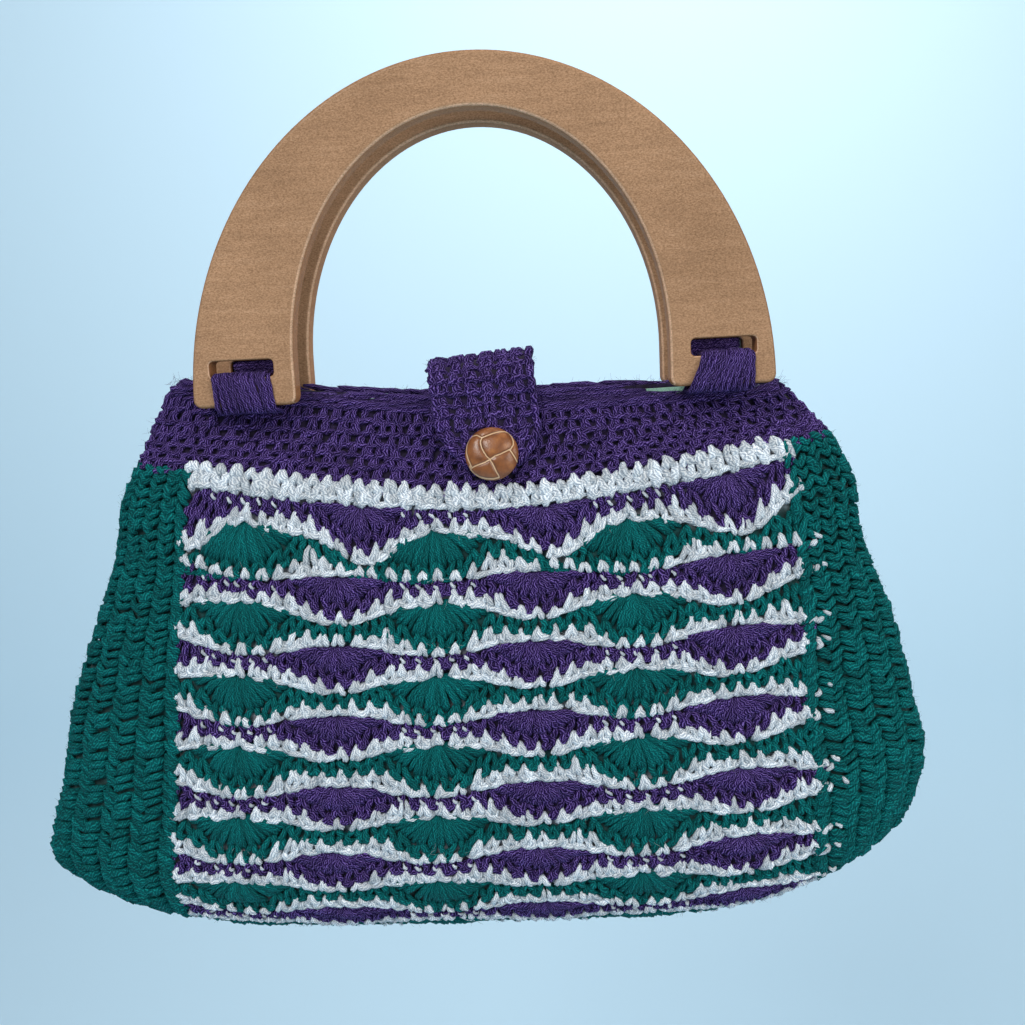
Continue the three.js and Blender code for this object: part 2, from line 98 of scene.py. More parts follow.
for lamp_name, lamp_place, lamp_size, lamp_power, lamp_colour in [
        ("lamp_left", (-0.55, -1.05, 0.75), 0.6, 12.5, (1.0, 0.97, 0.94)),
        ("lamp_right", (1.1, -0.9, 0.25), 1.0, 10.5, (0.98, 0.95, 0.90)),
        ("lamp_wall", (0.20, 0.24, 0.68), 0.5, 6.2, (1.0, 0.97, 0.96))]:
    glow = bpy.data.lights.new(lamp_name, "AREA")
    glow.size = lamp_size
    glow.energy = lamp_power
    glow.color = lamp_colour
    lamp = bpy.data.objects.new(lamp_name, glow)
    lamp.location = lamp_place
    target = Vector((0.12, 1.0, 0.05)) if lamp_name == "lamp_wall" else Vector((0, 0, -0.15))
    lamp.rotation_euler = (target - lamp.location).to_track_quat("-Z", "Y").to_euler()
    bpy.context.scene.collection.objects.link(lamp)
room = bpy.data.worlds.new("room")
room.use_nodes = True
room.node_tree.nodes["Background"].inputs["Color"].default_value = (0.80, 0.90, 1.0, 1)
room.node_tree.nodes["Background"].inputs["Strength"].default_value = 0.35
bpy.context.scene.world = room
bpy.context.scene.view_settings.view_transform = "Standard"


# The handles: two half-round arches sawn from a 9.5 mm board of pale hardwood, with rounded
# edges, a slot routed through each foot, and a satin tan stain under a clear coat.
def show(name, mesh_or_bmesh, *materials):
    """Makes a finished object at the origin from a mesh"""
    mesh = mesh_or_bmesh
    if isinstance(mesh, bmesh.types.BMesh):
        mesh = bpy.data.meshes.new(name)
        mesh_or_bmesh.to_mesh(mesh)
        mesh_or_bmesh.free()
    for finish in materials:
        mesh.materials.append(finish)
    piece = bpy.data.objects.new(name, mesh)
    bpy.context.scene.collection.objects.link(piece)
    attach(piece, "root")
    return piece


def link(tree, *pairs):
    """Joins sockets, each pair as node, output, node, input"""
    for start, output, end, entry in pairs:
        tree.links.new(start.outputs[output], end.inputs[entry])


def node(tree, kind, **settings):
    """Adds a shader node. Settings that name an input set its value."""
    made = tree.nodes.new("ShaderNode" + kind)
    for key, value in settings.items():
        if hasattr(made, key):
            setattr(made, key, value)
        else:
            made.inputs[key.replace("_", " ")].default_value = value
    return made


def ramp(tree, *stops):
    """A colour ramp through stops, each a position and a colour"""
    made = tree.nodes.new("ShaderNodeValToRGB")
    while len(made.color_ramp.elements) < len(stops):
        made.color_ramp.elements.new(0.5)
    for element, (position, colour) in zip(made.color_ramp.elements, stops):
        element.position = position
        element.color = (*colour, 1)
    return made


def multiply(tree, amount=1.0):
    """A node that multiplies two colours"""
    made = node(tree, "Mix", data_type="RGBA", blend_type="MULTIPLY")
    made.inputs[0].default_value = amount
    return made


wood, tree, shader = finished("stained_wood", Roughness=0.6, Specular_IOR_Level=0.0, Coat_Weight=0.12,
                              Coat_Roughness=0.18)
spot = node(tree, "TexCoord")
along_grain = node(tree, "Mapping")
along_grain.inputs["Scale"].default_value = (60, 200, 420)
streaks = node(tree, "TexNoise", Scale=1.0, Detail=6.0, Roughness=0.62)
pores_space = node(tree, "Mapping")
pores_space.inputs["Scale"].default_value = (1300, 1900, 2300)
pores = node(tree, "TexNoise", Scale=1.0, Detail=3.0, Roughness=0.7)
clouds = node(tree, "TexNoise", Scale=22.0, Detail=4.0)
tan = ramp(tree, (0.25, (0.318, 0.186, 0.106)), (0.52, (0.376, 0.220, 0.124)),
           (0.78, (0.420, 0.254, 0.150)))
cloud_tone = ramp(tree, (0.35, (0.92, 0.91, 0.90)), (0.7, (1.10, 1.10, 1.10)))
pore_tone = ramp(tree, (0.30, (0.52, 0.48, 0.44)), (0.46, (0.93, 0.93, 0.93)),
                 (0.66, (1.45, 1.46, 1.50)))
stain = multiply(tree)
speckle = multiply(tree, 0.75)
relief = node(tree, "Bump", Strength=0.12, Distance=0.0004)
# The attribute runs from 0 on the outer side over 0.5 on the faces to 1 on the inner side
sawn_side = node(tree, "Attribute", attribute_name="side")
# Painted light by facing: the inner rounded rims are painted much lighter as a painted highlight, and the
# sawn sides and outer rims warmer and darker as painted shade.
painted_side_light = ramp(tree, (0.0, (0.80, 0.60, 0.46)), (0.30, (0.82, 0.74, 0.66)), (0.46, (1.0, 1.0, 1.0)),
                 (0.53, (1.0, 1.0, 1.0)), (0.60, (1.75, 1.90, 2.15)), (0.74, (1.60, 1.70, 1.90)),
                 (0.86, (0.98, 0.80, 0.64)), (1.0, (1.0, 0.76, 0.58)))
stain_and_side_light = multiply(tree)
link(tree, (spot, "Object", along_grain, "Vector"), (along_grain, "Vector", streaks, "Vector"),
     (spot, "Object", pores_space, "Vector"), (pores_space, "Vector", pores, "Vector"),
     (spot, "Object", clouds, "Vector"), (streaks, "Fac", tan, "Fac"), (clouds, "Fac", cloud_tone, "Fac"),
     (pores, "Fac", pore_tone, "Fac"), (tan, "Color", stain, 6), (cloud_tone, "Color", stain, 7),
     (stain, 2, speckle, 6), (pore_tone, "Color", speckle, 7), (speckle, 2, stain_and_side_light, 6),
     (sawn_side, "Fac", painted_side_light, "Fac"), (painted_side_light, "Color", stain_and_side_light, 7),
     (stain_and_side_light, 2, shader, "Base Color"),
     (pores, "Fac", relief, "Height"), (relief, "Normal", shader, "Normal"))

# Sizes in mm
handle_half = 102
handle_rise = 115.1
grip_half = 65.5
grip_rise = 81.9
grip_floor = 15.1
foot_bottom = -97
foot_corner = 3
board_thick = 9.5
board_middle = 13.25
slot_middle = 84
slot_width = 22.6
slot_height = 6
slot_lift = 13.2


def arc(centre, radii, start, end, steps):
    """Points on an ellipse's arc, as x and z in mm"""
    angles = [start + (end - start) * step / steps for step in range(steps + 1)]
    return [(centre[0] + radii[0] * math.cos(a), centre[1] + radii[1] * math.sin(a)) for a in angles]


def foot_arc(x, start):
    """A quarter round at a corner of a handle's foot"""
    return arc((x, foot_bottom + foot_corner), (foot_corner, foot_corner), start, start - math.pi / 2, 4)


for handle_name, handle_y in [("handle_front", -board_middle), ("handle_back", board_middle)]:
    outline = [
        *arc((0, foot_bottom), (handle_half, handle_rise), math.pi - 0.0261, 0.0261, 88),
        *foot_arc(handle_half - foot_corner, 0)[1:],
        *foot_arc(grip_half + foot_corner, -math.pi / 2),
        *arc((0, foot_bottom + grip_floor), (grip_half, grip_rise), 0, math.pi, 64),
        *foot_arc(-grip_half - foot_corner, 0),
        *foot_arc(-handle_half + foot_corner, -math.pi / 2)[:-1],
    ]
    board = bmesh.new()
    rim = [board.verts.new((x, handle_y - board_thick / 2, z)) for x, z in outline]
    front_face = board.faces.new(rim)
    sawn = bmesh.ops.extrude_face_region(board, geom=[front_face])["geom"]
    bmesh.ops.translate(board, vec=(0, board_thick, 0),
                        verts=[v for v in sawn if isinstance(v, bmesh.types.BMVert)])
    bmesh.ops.recalc_face_normals(board, faces=board.faces)
    long_edges = [e for e in board.edges if abs(e.verts[0].co.y - e.verts[1].co.y) < 0.1]
    bmesh.ops.bevel(board, geom=long_edges, affect="EDGES", offset=1.5, segments=4, profile=0.5,
                    material=-1, clamp_overlap=True)
    for face in board.faces:
        face.smooth = True
    mesh = bpy.data.meshes.new(handle_name + "_wood")
    board.to_mesh(mesh)
    board.free()
    handle = bpy.data.objects.new(handle_name + "_blank", mesh)
    bpy.context.scene.collection.objects.link(handle)
    cutters = bmesh.new()
    for side in (-1, 1):
        made = bmesh.ops.create_cube(cutters, size=1)["verts"]
        bmesh.ops.scale(cutters, vec=(slot_width, 30, slot_height), verts=made)
        bmesh.ops.translate(cutters, vec=(side * slot_middle, handle_y, foot_bottom + slot_lift), verts=made)
        upright = [e for e in {e for v in made for e in v.link_edges}
                   if abs(e.verts[0].co.y - e.verts[1].co.y) > 1]
        bmesh.ops.bevel(cutters, geom=upright, affect="EDGES", offset=1.5, segments=4, profile=0.5,
                        material=-1)
    cutter_mesh = bpy.data.meshes.new("slot_cutter")
    cutters.to_mesh(cutter_mesh)
    cutters.free()
    cutter = bpy.data.objects.new("slot_cutter", cutter_mesh)
    bpy.context.scene.collection.objects.link(cutter)
    cut = handle.modifiers.new("slots", "BOOLEAN")
    cut.operation = "DIFFERENCE"
    cut.solver = "EXACT"
    cut.object = cutter
    routed = bmesh.new()
    routed.from_object(handle, bpy.context.evaluated_depsgraph_get())
    bpy.data.objects.remove(cutter)
    bpy.data.objects.remove(handle)
    slot_rims = [e for e in routed.edges if all(
        abs(abs(v.co.x) - slot_middle) < 11.5 and abs(v.co.z - foot_bottom - slot_lift) < 3.2
        and abs(abs(v.co.y - handle_y) - board_thick / 2) < 0.05 for v in e.verts) and len(e.link_faces) == 2
        and e.calc_face_angle(0) > 1]
    bmesh.ops.bevel(routed, geom=slot_rims, affect="EDGES", offset=0.7, segments=3, profile=0.5,
                    material=-1)
    bmesh.ops.scale(routed, vec=(0.001, 0.001, 0.001), verts=routed.verts)
    routed.normal_update()
    # Which way each point faces, read by the wood's ramp of painted rim highlight and painted side shade
    turned_side = routed.verts.layers.float_color.new("side")
    for vert in routed.verts:
        inward = vert.normal.x * vert.co.x + vert.normal.z * (vert.co.z + 0.06) < 0
        turned = 0.5 + (1 - abs(vert.normal.y)) * (0.5 if inward else -0.5)
        vert[turned_side] = (turned, turned, turned, 1)
    for face in routed.faces:
        face.smooth = True
    for edge in routed.edges:
        edge.smooth = edge.calc_face_angle(0) < 0.7
    handle = show(handle_name + "_wood", routed, wood)
    even = handle.modifiers.new("even_shading", "WEIGHTED_NORMAL")
    even.keep_sharp = True
    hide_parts(handle_name)


# The lining: a thin pouch of mint cotton hung inside the crochet, a few millimetres smaller all
# round and sewn down under the mouth. All the soft walls follow the bag's own sagging shape.

# Level sections of the bag from the mouth to the fold, as shares: band and body of their heights,
# left and right of the flare, lifts of the ends and their curl, squeeze between the handles, depth,
# blunt ends, gape and rise of the mouth, and the seams' places
section_rows = [
    (0.00, 0.00, 0.00, 0.00, 0.061, 0.000, 1.00, 1, 0.00, 5.0, 1.00, 1.0, 0.830, 0.830),
    (0.45, 0.00, 0.15, 0.22, 0.050, 0.015, 1.00, 0.6, 0.20, 4.2, 0.85, 0.6, 0.830, 0.830),
    (1.00, 0.00, 0.25, 0.34, 0.075, 0.075, 1.00, 0, 0.56, 3.4, 0.40, 0.3, 0.827, 0.837),
    (1.00, 0.09, 0.36, 0.50, 0.078, 0.066, 2.00, 0, 0.70, 3.0, 0.10, 0.1, 0.810, 0.815),
    (1.00, 0.18, 0.41, 0.54, 0.065, 0.050, 2.60, 0, 0.83, 2.8, 0, 0, 0.800, 0.817),
    (1.00, 0.35, 0.58, 0.75, 0.070, 0.048, 3.10, 0, 0.95, 2.6, 0, 0, 0.769, 0.763),
    (1.00, 0.51, 0.76, 0.88, 0.063, 0.055, 3.60, 0, 1.00, 2.6, 0, 0, 0.724, 0.726),
    (1.00, 0.67, 0.86, 1.00, 0.055, 0.055, 4.00, 0, 0.99, 2.6, 0, 0, 0.718, 0.723),
    (1.00, 0.81, 0.97, 0.95, 0.065, 0.090, 4.50, 0, 0.90, 2.6, 0, 0, 0.710, 0.733),
    (1.00, 0.90, 1.00, 0.86, 0.085, 0.110, 4.30, 0, 0.70, 2.6, 0, 0, 0.700, 0.765),
    (1.00, 0.96, 0.91, 0.73, 0.102, 0.135, 4.00, 0, 0.43, 2.6, 0, 0, 0.725, 0.810),
    (1.00, 1.00, 0.77, 0.65, 0.101, 0.148, 3.80, 0, 0.00, 2.6, 0, 0, 0.764, 0.835),
]
# Past the fold the depth goes on to the other side, so that the curve runs through evenly
past_fold = [-value if column == 8 else value for column, value in enumerate(section_rows[-2])]
section_table = np.array([section_rows[0], *section_rows, past_fold])
fold_place = len(section_rows) - 1
band_end = 2
# Sizes in mm that the shares are of: half widths at the mouth and what the sides gain below it,
# heights, half depths, and how far the mouth gapes and rises
mouth_left = 113.6
mouth_right = 106.4
flare_left = 64
flare_right = 51.5
mouth_height = -99
band_height = 33.5
body_height = 168
squeezed_depth = 6.1
full_depth = 27
gape_half = 62
gape_depth = 5
mouth_rise = 4.6


def shares(place):
    """The sections' shares at places between the rows, on a smooth curve"""
    place = np.clip(place, 0, fold_place)
    index = np.minimum(place.astype(int), fold_place - 1)
    t = (place - index)[..., None]
    before, start, end, after = (section_table[index + step] for step in range(4))
    blend = ((2 * t**3 - 3 * t**2 + 1) * start + (t**3 - 2 * t**2 + t) * (end - before) / 2
             + (3 * t**2 - 2 * t**3) * end + (t**3 - t**2) * (after - start) / 2)
    return np.moveaxis(blend, -1, 0)


def half_width(share, positive):
    """From the bag's middle to its right or left end at a level"""
    return np.where(positive, mouth_right + share[3] * flare_right, mouth_left + share[2] * flare_left)


def wall(place, angle):
    """Points on the bag's face in mm. The angle starts at the right end and runs over the front."""
    place, angle = np.broadcast_arrays(np.asarray(place, float), np.asarray(angle, float))
    share = shares(place)
    across = np.cos(angle)
    x = across * half_width(share, across >= 0)
    gape = np.where(np.abs(x) < gape_half, (1 + np.cos(np.pi * x / gape_half)) / 2, 0)
    gape = gape * share[10] * gape_depth
    bulge = np.sqrt(1 - np.minimum(1, np.abs(across)) ** share[9])
    front = np.sign(np.sin(angle)) * bulge
    bent = (np.hypot(across, 0.2) - 0.2) / (np.hypot(1, 0.2) - 0.2)
    lift = np.where(across < 0, share[4], share[5]) * (band_height + body_height) * bent ** share[6]
    rise = share[11] * mouth_rise * (1 + across) * (1 - front) / 4
    height = mouth_height - share[0] * band_height - share[1] * body_height + lift + rise
    depth = share[7] * squeezed_depth + share[8] * full_depth + gape
    return np.stack([x, -front * depth, height], -1)


def angle_at(place, x):
    """The angle of the front point at an x"""
    place, x = np.broadcast_arrays(np.asarray(place, float), np.asarray(x, float))
    return np.arccos(np.clip(x / half_width(shares(place), x >= 0), -1, 1))


def seam_angle(place, side):
    """The angle of the front seam between panel and gusset"""
    share = shares(np.asarray(place, float))
    return np.arccos(-share[12] if side < 0 else share[13])


def even_round(first, last, places=48, samples=600):
    """Angles at even steps of length round the wall, from one angle to another that vary by place"""
    rows = np.linspace(0, fold_place, places + 1)
    starts, ends = first(rows), last(rows)
    mix = np.linspace(0, 1, samples + 1)
    angles = starts[:, None] + (ends - starts)[:, None] * mix
    points = wall(np.repeat(rows[:, None], samples + 1, 1), angles)
    runs = np.cumsum(np.linalg.norm(np.diff(points, axis=1), axis=-1), axis=1)
    runs = np.hstack([np.zeros((places + 1, 1)), runs])
    table = np.array([np.interp(mix, run / run[-1], angle) for run, angle in zip(runs, angles)])

    def angle_of(place, share):
        row = np.clip(place, 0, fold_place) / fold_place * places
        low = np.minimum(row.astype(int), places - 1)
        column = np.clip(share, 0, 1) * samples
        left = np.minimum(column.astype(int), samples - 1)
        r, c = row - low, column - left
        return ((table[low, left] * (1 - c) + table[low, left + 1] * c) * (1 - r)
                + (table[low + 1, left] * (1 - c) + table[low + 1, left + 1] * c) * r)
    return angle_of


# Length in mm down the middle line of the front, over the fold and up the back
strip_places = np.linspace(0, 2 * fold_place, 881)
strip_points = wall(np.minimum(strip_places, 2 * fold_place - strip_places),
                    np.where(strip_places > fold_place, -np.pi / 2, np.pi / 2))
strip_run = np.concatenate([[0], np.cumsum(np.linalg.norm(np.diff(strip_points, axis=0), axis=-1))])
band_run = float(np.interp(band_end, strip_places, strip_run))
fold_run = float(np.interp(fold_place, strip_places, strip_run))
ring_angle = even_round(lambda place: np.full_like(place, np.pi),
                        lambda place: np.full_like(place, -np.pi))


def ring_surface(across, down):
    """The whole bag, across from 0 to 1 round it from the left end, down in mm from the mouth"""
    place = np.interp(down, strip_run, strip_places)
    place = np.minimum(place, fold_place)
    return wall(place, ring_angle(place, np.mod(across, 1)))


def laid(surface, across, down, out, steps=(0.0005, 0.1)):
    """Points at a height over a surface, and the way that it looks there"""
    spot = surface(across, down)
    rightward = surface(across + steps[0], down) - surface(across - steps[0], down)
    downward = surface(across, down + steps[1]) - surface(across, down - steps[1])
    look = np.cross(downward, rightward)
    look /= np.maximum(np.linalg.norm(look, axis=-1, keepdims=True), 1e-9)
    return spot + look * np.asarray(out)[..., None], look


def backing(name, surface, columns, rows, reach, out, thickness, finish, tones=None):
    """A cloth wall under the stitches: a grid laid on a surface and given a thickness"""
    cloth = bmesh.new()
    uv = cloth.loops.layers.uv.new("cloth")
    bmesh.ops.create_grid(cloth, x_segments=columns, y_segments=rows, size=1, calc_uvs=False)
    cloth.verts.index_update()
    shares_ab = np.array([[(v.co.x + 1) / 2, (v.co.y + 1) / 2] for v in cloth.verts])
    down = reach[0] + (reach[1] - reach[0]) * shares_ab[:, 1]
    points, _ = laid(surface, np.clip(shares_ab[:, 0], 0.0006, 0.9994), down, np.full(len(down), out))
    for vert, point in zip(cloth.verts, points):
        vert.co = point / 1000
    tint = cloth.verts.layers.float_color.new("tint")
    for vert, place in zip(cloth.verts, shares_ab):
        shade = tones(place[0], reach[0] + (reach[1] - reach[0]) * place[1]) if tones else (1, 1, 1)
        vert[tint] = (*shade, 1)
    for face in cloth.faces:
        face.smooth = True
        for loop in face.loops:
            a, b = shares_ab[loop.vert.index]
            loop[uv].uv = (a * 300, down[loop.vert.index])
    bmesh.ops.remove_doubles(cloth, verts=cloth.verts, dist=0.00005)
    bmesh.ops.reverse_faces(cloth, faces=cloth.faces)
    piece = show(name, cloth, finish)
    body = piece.modifiers.new("cloth_thickness", "SOLIDIFY")
    body.thickness = thickness / 1000
    body.offset = 0
    body.use_even_offset = False
    return piece


def plain_weave(name, colour, light, shade):
    """Fine woven cotton: crossing threads 0.4 mm apart, in the cloth's own map"""
    finish, tree, shader = finished(name, Roughness=0.9, Sheen_Weight=0.25)
    place = node(tree, "UVMap", uv_map="cloth")
    warp = node(tree, "TexWave", bands_direction="X", Scale=0.8, Distortion=0.6, Detail=1.0)
    weft = node(tree, "TexWave", bands_direction="Y", Scale=0.8, Distortion=0.6, Detail=1.0)
    crossed = node(tree, "Math", operation="MAXIMUM")
    slub = node(tree, "TexNoise", Scale=0.12, Detail=3.0)
    both = node(tree, "Math", operation="MULTIPLY")
    tint = ramp(tree, (0.15, shade), (0.45, colour), (0.8, light))
    relief = node(tree, "Bump", Strength=0.5, Distance=0.0002)
    link(tree, (place, "UV", warp, "Vector"), (place, "UV", weft, "Vector"), (place, "UV", slub, "Vector"),
         (warp, "Fac", crossed, 0), (weft, "Fac", crossed, 1), (crossed, 0, both, 0), (slub, "Fac", both, 1),
         (both, 0, tint, "Fac"), (tint, "Color", shader, "Base Color"), (crossed, 0, relief, "Height"),
         (relief, "Normal", shader, "Normal"))
    return finish


mint_cotton = plain_weave("mint_cotton", (0.42, 0.74, 0.60), (0.80, 0.95, 0.88), (0.22, 0.44, 0.34))
lining = backing("lining_pouch", ring_surface, 72, 30, (1.7, fold_run - 0.4), -4.4, 0.7, mint_cotton)
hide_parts("lining")


# The band: seven rows of single crochet in violet wool round the mouth, 92 stitches to a round and
# 4.3 mm to a row. Above them, the strands of three more rounds lie along the rolled edge.
def reckon(tree, operation, *values):
    """A Math node, with the values of its second and third inputs"""
    made = node(tree, "Math", operation=operation)
    for entry, value in enumerate(values, 1):
        made.inputs[entry].default_value = value
    return made


def spun_wool(name, dark, middle, light):
    """Plied wool in a strand's own map: x along it in mm, y round it"""
    finish, tree, shader = finished(name, Roughness=0.88, Specular_IOR_Level=0.12, Sheen_Weight=0.10,
                                    Sheen_Roughness=0.4,
                                    Sheen_Tint=(*(min(1, c * 1.5 + 0.05) for c in light), 1))
    twist_length = 2.3
    plies = 6
    place = node(tree, "UVMap", uv_map="strand")
    split = node(tree, "SeparateXYZ")
    turns = reckon(tree, "MULTIPLY_ADD", 1 / twist_length)
    slack = node(tree, "TexNoise", Scale=0.55, Detail=2.0)
    loose_turn = reckon(tree, "MULTIPLY", 5.0)
    around = reckon(tree, "MULTIPLY_ADD", plies)
    circle = reckon(tree, "MULTIPLY", 2 * math.pi)
    wave = reckon(tree, "SINE")
    half = reckon(tree, "MULTIPLY_ADD", 0.5, 0.5)
    ply_crest_light = reckon(tree, "POWER", 2.0)
    slow = reckon(tree, "MULTIPLY", 0.8)
    wide = reckon(tree, "MULTIPLY", 2.6)
    lanes = node(tree, "CombineXYZ")
    fibres = node(tree, "TexNoise", Scale=1.0, Detail=3.0, Roughness=0.65)
    share = reckon(tree, "MULTIPLY_ADD", 0.42)
    weight = reckon(tree, "MULTIPLY", 0.80)
    # The ramp paints each ply's crest light and the valleys between plies dark, as painted highlight and
    # painted shade, broken by random fibre streaks.
    tint = ramp(tree, (0.35, dark), (0.57, middle), (0.86, light))
    own = node(tree, "Attribute", attribute_name="tone")
    toned = multiply(tree)
    relief = node(tree, "Bump", Strength=0.9, Distance=0.0004)
    link(tree, (place, "UV", split, 0), (place, "UV", slack, 0), (slack, "Fac", loose_turn, 0),
         (loose_turn, 0, turns, 2), (split, "X", turns, 0), (split, "Y", around, 0),
         (turns, 0, around, 2), (around, 0, circle, 0), (circle, 0, wave, 0), (wave, 0, half, 0),
         (half, 0, ply_crest_light, 0),
         (split, "X", slow, 0), (around, 0, wide, 0), (slow, 0, lanes, "X"), (wide, 0, lanes, "Y"),
         (lanes, 0, fibres, "Vector"), (ply_crest_light, 0, share, 0), (fibres, "Fac", weight, 0), (weight, 0, share, 2),
         (share, 0, tint, "Fac"), (tint, "Color", toned, 6), (own, "Color", toned, 7),
         (toned, 2, shader, "Base Color"), (share, 0, relief, "Height"), (relief, "Normal", shader, "Normal"))
    return finish


violet_wool = spun_wool("violet_wool", (0.006, 0.002, 0.027), (0.024, 0.008, 0.084), (0.215, 0.140, 0.450))
chance = np.random.default_rng(11)


def straight_strand(rings, sides):
    """One strand to bend: a closed tube along z cut into rings"""
    tube = bmesh.new()
    bmesh.ops.create_cone(tube, cap_ends=True, segments=sides, radius1=1, radius2=1, depth=1)
    for cut in range(1, rings - 1):
        everything = [*tube.verts, *tube.edges, *tube.faces]
        bmesh.ops.bisect_plane(tube, geom=everything, plane_co=(0, 0, cut / (rings - 1) - 0.5),
                               plane_no=(0, 0, 1))
    tube.verts.index_update()
    ring_of = np.array([round((v.co.z + 0.5) * (rings - 1)) for v in tube.verts])
    around = np.array([math.atan2(v.co.y, v.co.x) for v in tube.verts])
    faces = [[v.index for v in face.verts] for face in tube.faces]
    tube.free()
    return ring_of, around, faces


def strands(name, finish, paths, looks, thick, sides=5, tone_spread=0.24, wiggle=0.13, keep=None):
    """Many strands joined in one mesh. Each path is a row of points in mm, with looks outwards."""
    if keep:
        paths, looks, thick = paths[:, keep], looks[:, keep], thick[:, keep]
    count, rings = paths.shape[:2]
    paths = paths + chance.normal(0, wiggle, paths.shape)
    thick = thick * (1 + 0.09 * chance.normal(0, 1, (count, rings)))
    ring_of, around, faces = straight_strand(rings, sides)
    forward = np.gradient(paths, axis=1)
    forward /= np.maximum(np.linalg.norm(forward, axis=-1, keepdims=True), 1e-9)
    beside = np.cross(forward, looks)
    beside /= np.maximum(np.linalg.norm(beside, axis=-1, keepdims=True), 1e-9)
    outward = np.cross(beside, forward)
    turn = around + math.pi
    radius = np.broadcast_to(thick, (count, rings))[:, ring_of, None]
    spots = paths[:, ring_of] + radius * (np.cos(turn)[:, None] * outward[:, ring_of]
                                          + np.sin(turn)[:, None] * beside[:, ring_of])
    lengths = np.cumsum(np.linalg.norm(np.diff(paths, axis=1), axis=-1), axis=1)
    lengths = np.hstack([np.zeros((count, 1)), lengths]) + chance.uniform(0, 60, (count, 1))
    corner_of = np.concatenate([np.array(face) for face in faces])
    round_share = around[corner_of] / (2 * math.pi) + 0.5
    sizes = np.array([len(face) for face in faces])
    starts = np.concatenate([[0], np.cumsum(sizes)[:-1]])
    for start, size in zip(starts, sizes):
        part = round_share[start:start + size]
        if size == 4 and part.max() - part.min() > 0.5:
            part[part < 0.5] += 1
    verts_each, corners_each = len(ring_of), len(corner_of)
    mesh = bpy.data.meshes.new(name)
    mesh.vertices.add(count * verts_each)
    mesh.vertices.foreach_set("co", (spots / 1000).astype(np.float32).ravel())
    mesh.loops.add(count * corners_each)
    shift = np.arange(count)[:, None]
    mesh.loops.foreach_set("vertex_index", (corner_of + shift * verts_each).ravel())
    mesh.polygons.add(count * len(sizes))
    mesh.polygons.foreach_set("loop_start", (starts + shift * corners_each).ravel())
    mesh.update(calc_edges=True)
    mesh.shade_smooth()
    layer = mesh.uv_layers.new(name="strand")
    uvs = np.stack([lengths[:, ring_of[corner_of]], np.broadcast_to(round_share, (count, corners_each))], -1)
    layer.uv.foreach_set("vector", uvs.astype(np.float32).ravel())
    tones = 1 + tone_spread * (chance.random((count, 1)) * 2 - 1)
    tone = mesh.attributes.new("tone", "FLOAT_COLOR", "POINT")
    shade = np.ones((count, verts_each, 4), np.float32)
    shade[..., :3] = tones[..., None]
    tone.data.foreach_set("color", shade.ravel())
    mesh.validate()
    return show(name, mesh, finish)


def stack(*groups):
    """Joins groups of paths, looks and thicknesses"""
    return [np.concatenate([group[part] for group in groups]) for part in range(3)]


# One single crochet, from its foot in the row above to its two shoulders: across in stitches,
# down in rows, out in mm. A slanting strand of the chain closes it below.
leg_line = np.array([(0.03, -1.05, -2.2), (0.10, -0.84, -0.8), (0.19, -0.58, 0.0), (0.28, -0.28, 0.1),
                     (0.35, 0.0, -0.5), (0.38, 0.2, -2.2)])
leg_thick = np.array([0.7, 1.12, 1.32, 1.34, 1.2, 0.7])
chain_line = np.array([(-0.66, 0.16, -2.0), (-0.38, 0.06, -0.6), (-0.12, -0.06, 0.1), (0.2, -0.14, 0.14),
                       (0.46, -0.2, -0.5), (0.7, -0.24, -1.9)])
chain_thick = np.array([0.65, 1.0, 1.15, 1.15, 1.0, 0.65])


def crochet(surface, line, thick, columns, downs, pitch, height, out=0.0, lean=0.0, mirror=1, loose=1.0):
    """Lays one strand shape at many stitches. Columns and downs are the stitches' places."""
    count = len(columns)
    wobble = chance.normal(0, 1, (count, 6))
    size = 1 + 0.07 * loose * wobble[:, :1]
    a = mirror * line[:, 0] * size + 0.05 * loose * wobble[:, 1:2]
    b = line[:, 1] * (1 + 0.08 * loose * wobble[:, 2:3])
    tilt = lean - 0.06 * loose * wobble[:, 3:4]
    across = (np.asarray(columns)[:, None] + a - tilt * line[:, 1]) * pitch
    down = np.asarray(downs)[:, None] + b * np.reshape(height, (-1, 1)) + 0.22 * loose * wobble[:, 4:5]
    rise = line[:, 2] + out + 0.12 * loose * wobble[:, 5:6]
    points, looks = laid(surface, across, down, rise)
    return points, looks, np.broadcast_to(thick * (1 + 0.05 * loose * wobble[:, 1:2]), points.shape[:2])


ring_stitches = 92
ring_pitch = 1 / ring_stitches
band_parts = []
for row in range(7):
    columns = np.arange(ring_stitches) + 0.5 * (row % 2) + chance.normal(0, 0.03, ring_stitches)
    downs = np.full(ring_stitches, 8.5 + 4.3 * row)
    for mirror in (-1, 1):
        band_parts.append(crochet(ring_surface, leg_line * (0.66, 1, 1), leg_thick * 0.86, columns, downs,
                                  ring_pitch, 4.7, mirror=mirror, lean=0.08, loose=1.5))
    band_parts.append(crochet(ring_surface, chain_line, chain_thick * 0.96, columns, downs + 0.1,
                              ring_pitch, 4.0, out=0.1, loose=1.6))
edge_line = np.array([(-1.5, 0.35, -1.6), (-0.95, 0.2, -0.3), (-0.35, 0.05, 0.15), (0.3, -0.05, 0.15),
                      (0.95, -0.18, -0.3), (1.5, -0.3, -1.6)])
edge_thick = np.array([0.6, 0.9, 1.0, 1.0, 0.9, 0.6])
for row, down in enumerate((0.4, 2.2, 4.0)):
    columns = np.arange(0, ring_stitches, 1.5) + 0.6 * row
    downs = np.full(len(columns), down)
    band_parts.append(crochet(ring_surface, edge_line, edge_thick, columns, downs, ring_pitch, 3.2,
                              out=-0.9 if row == 0 else 0.0))
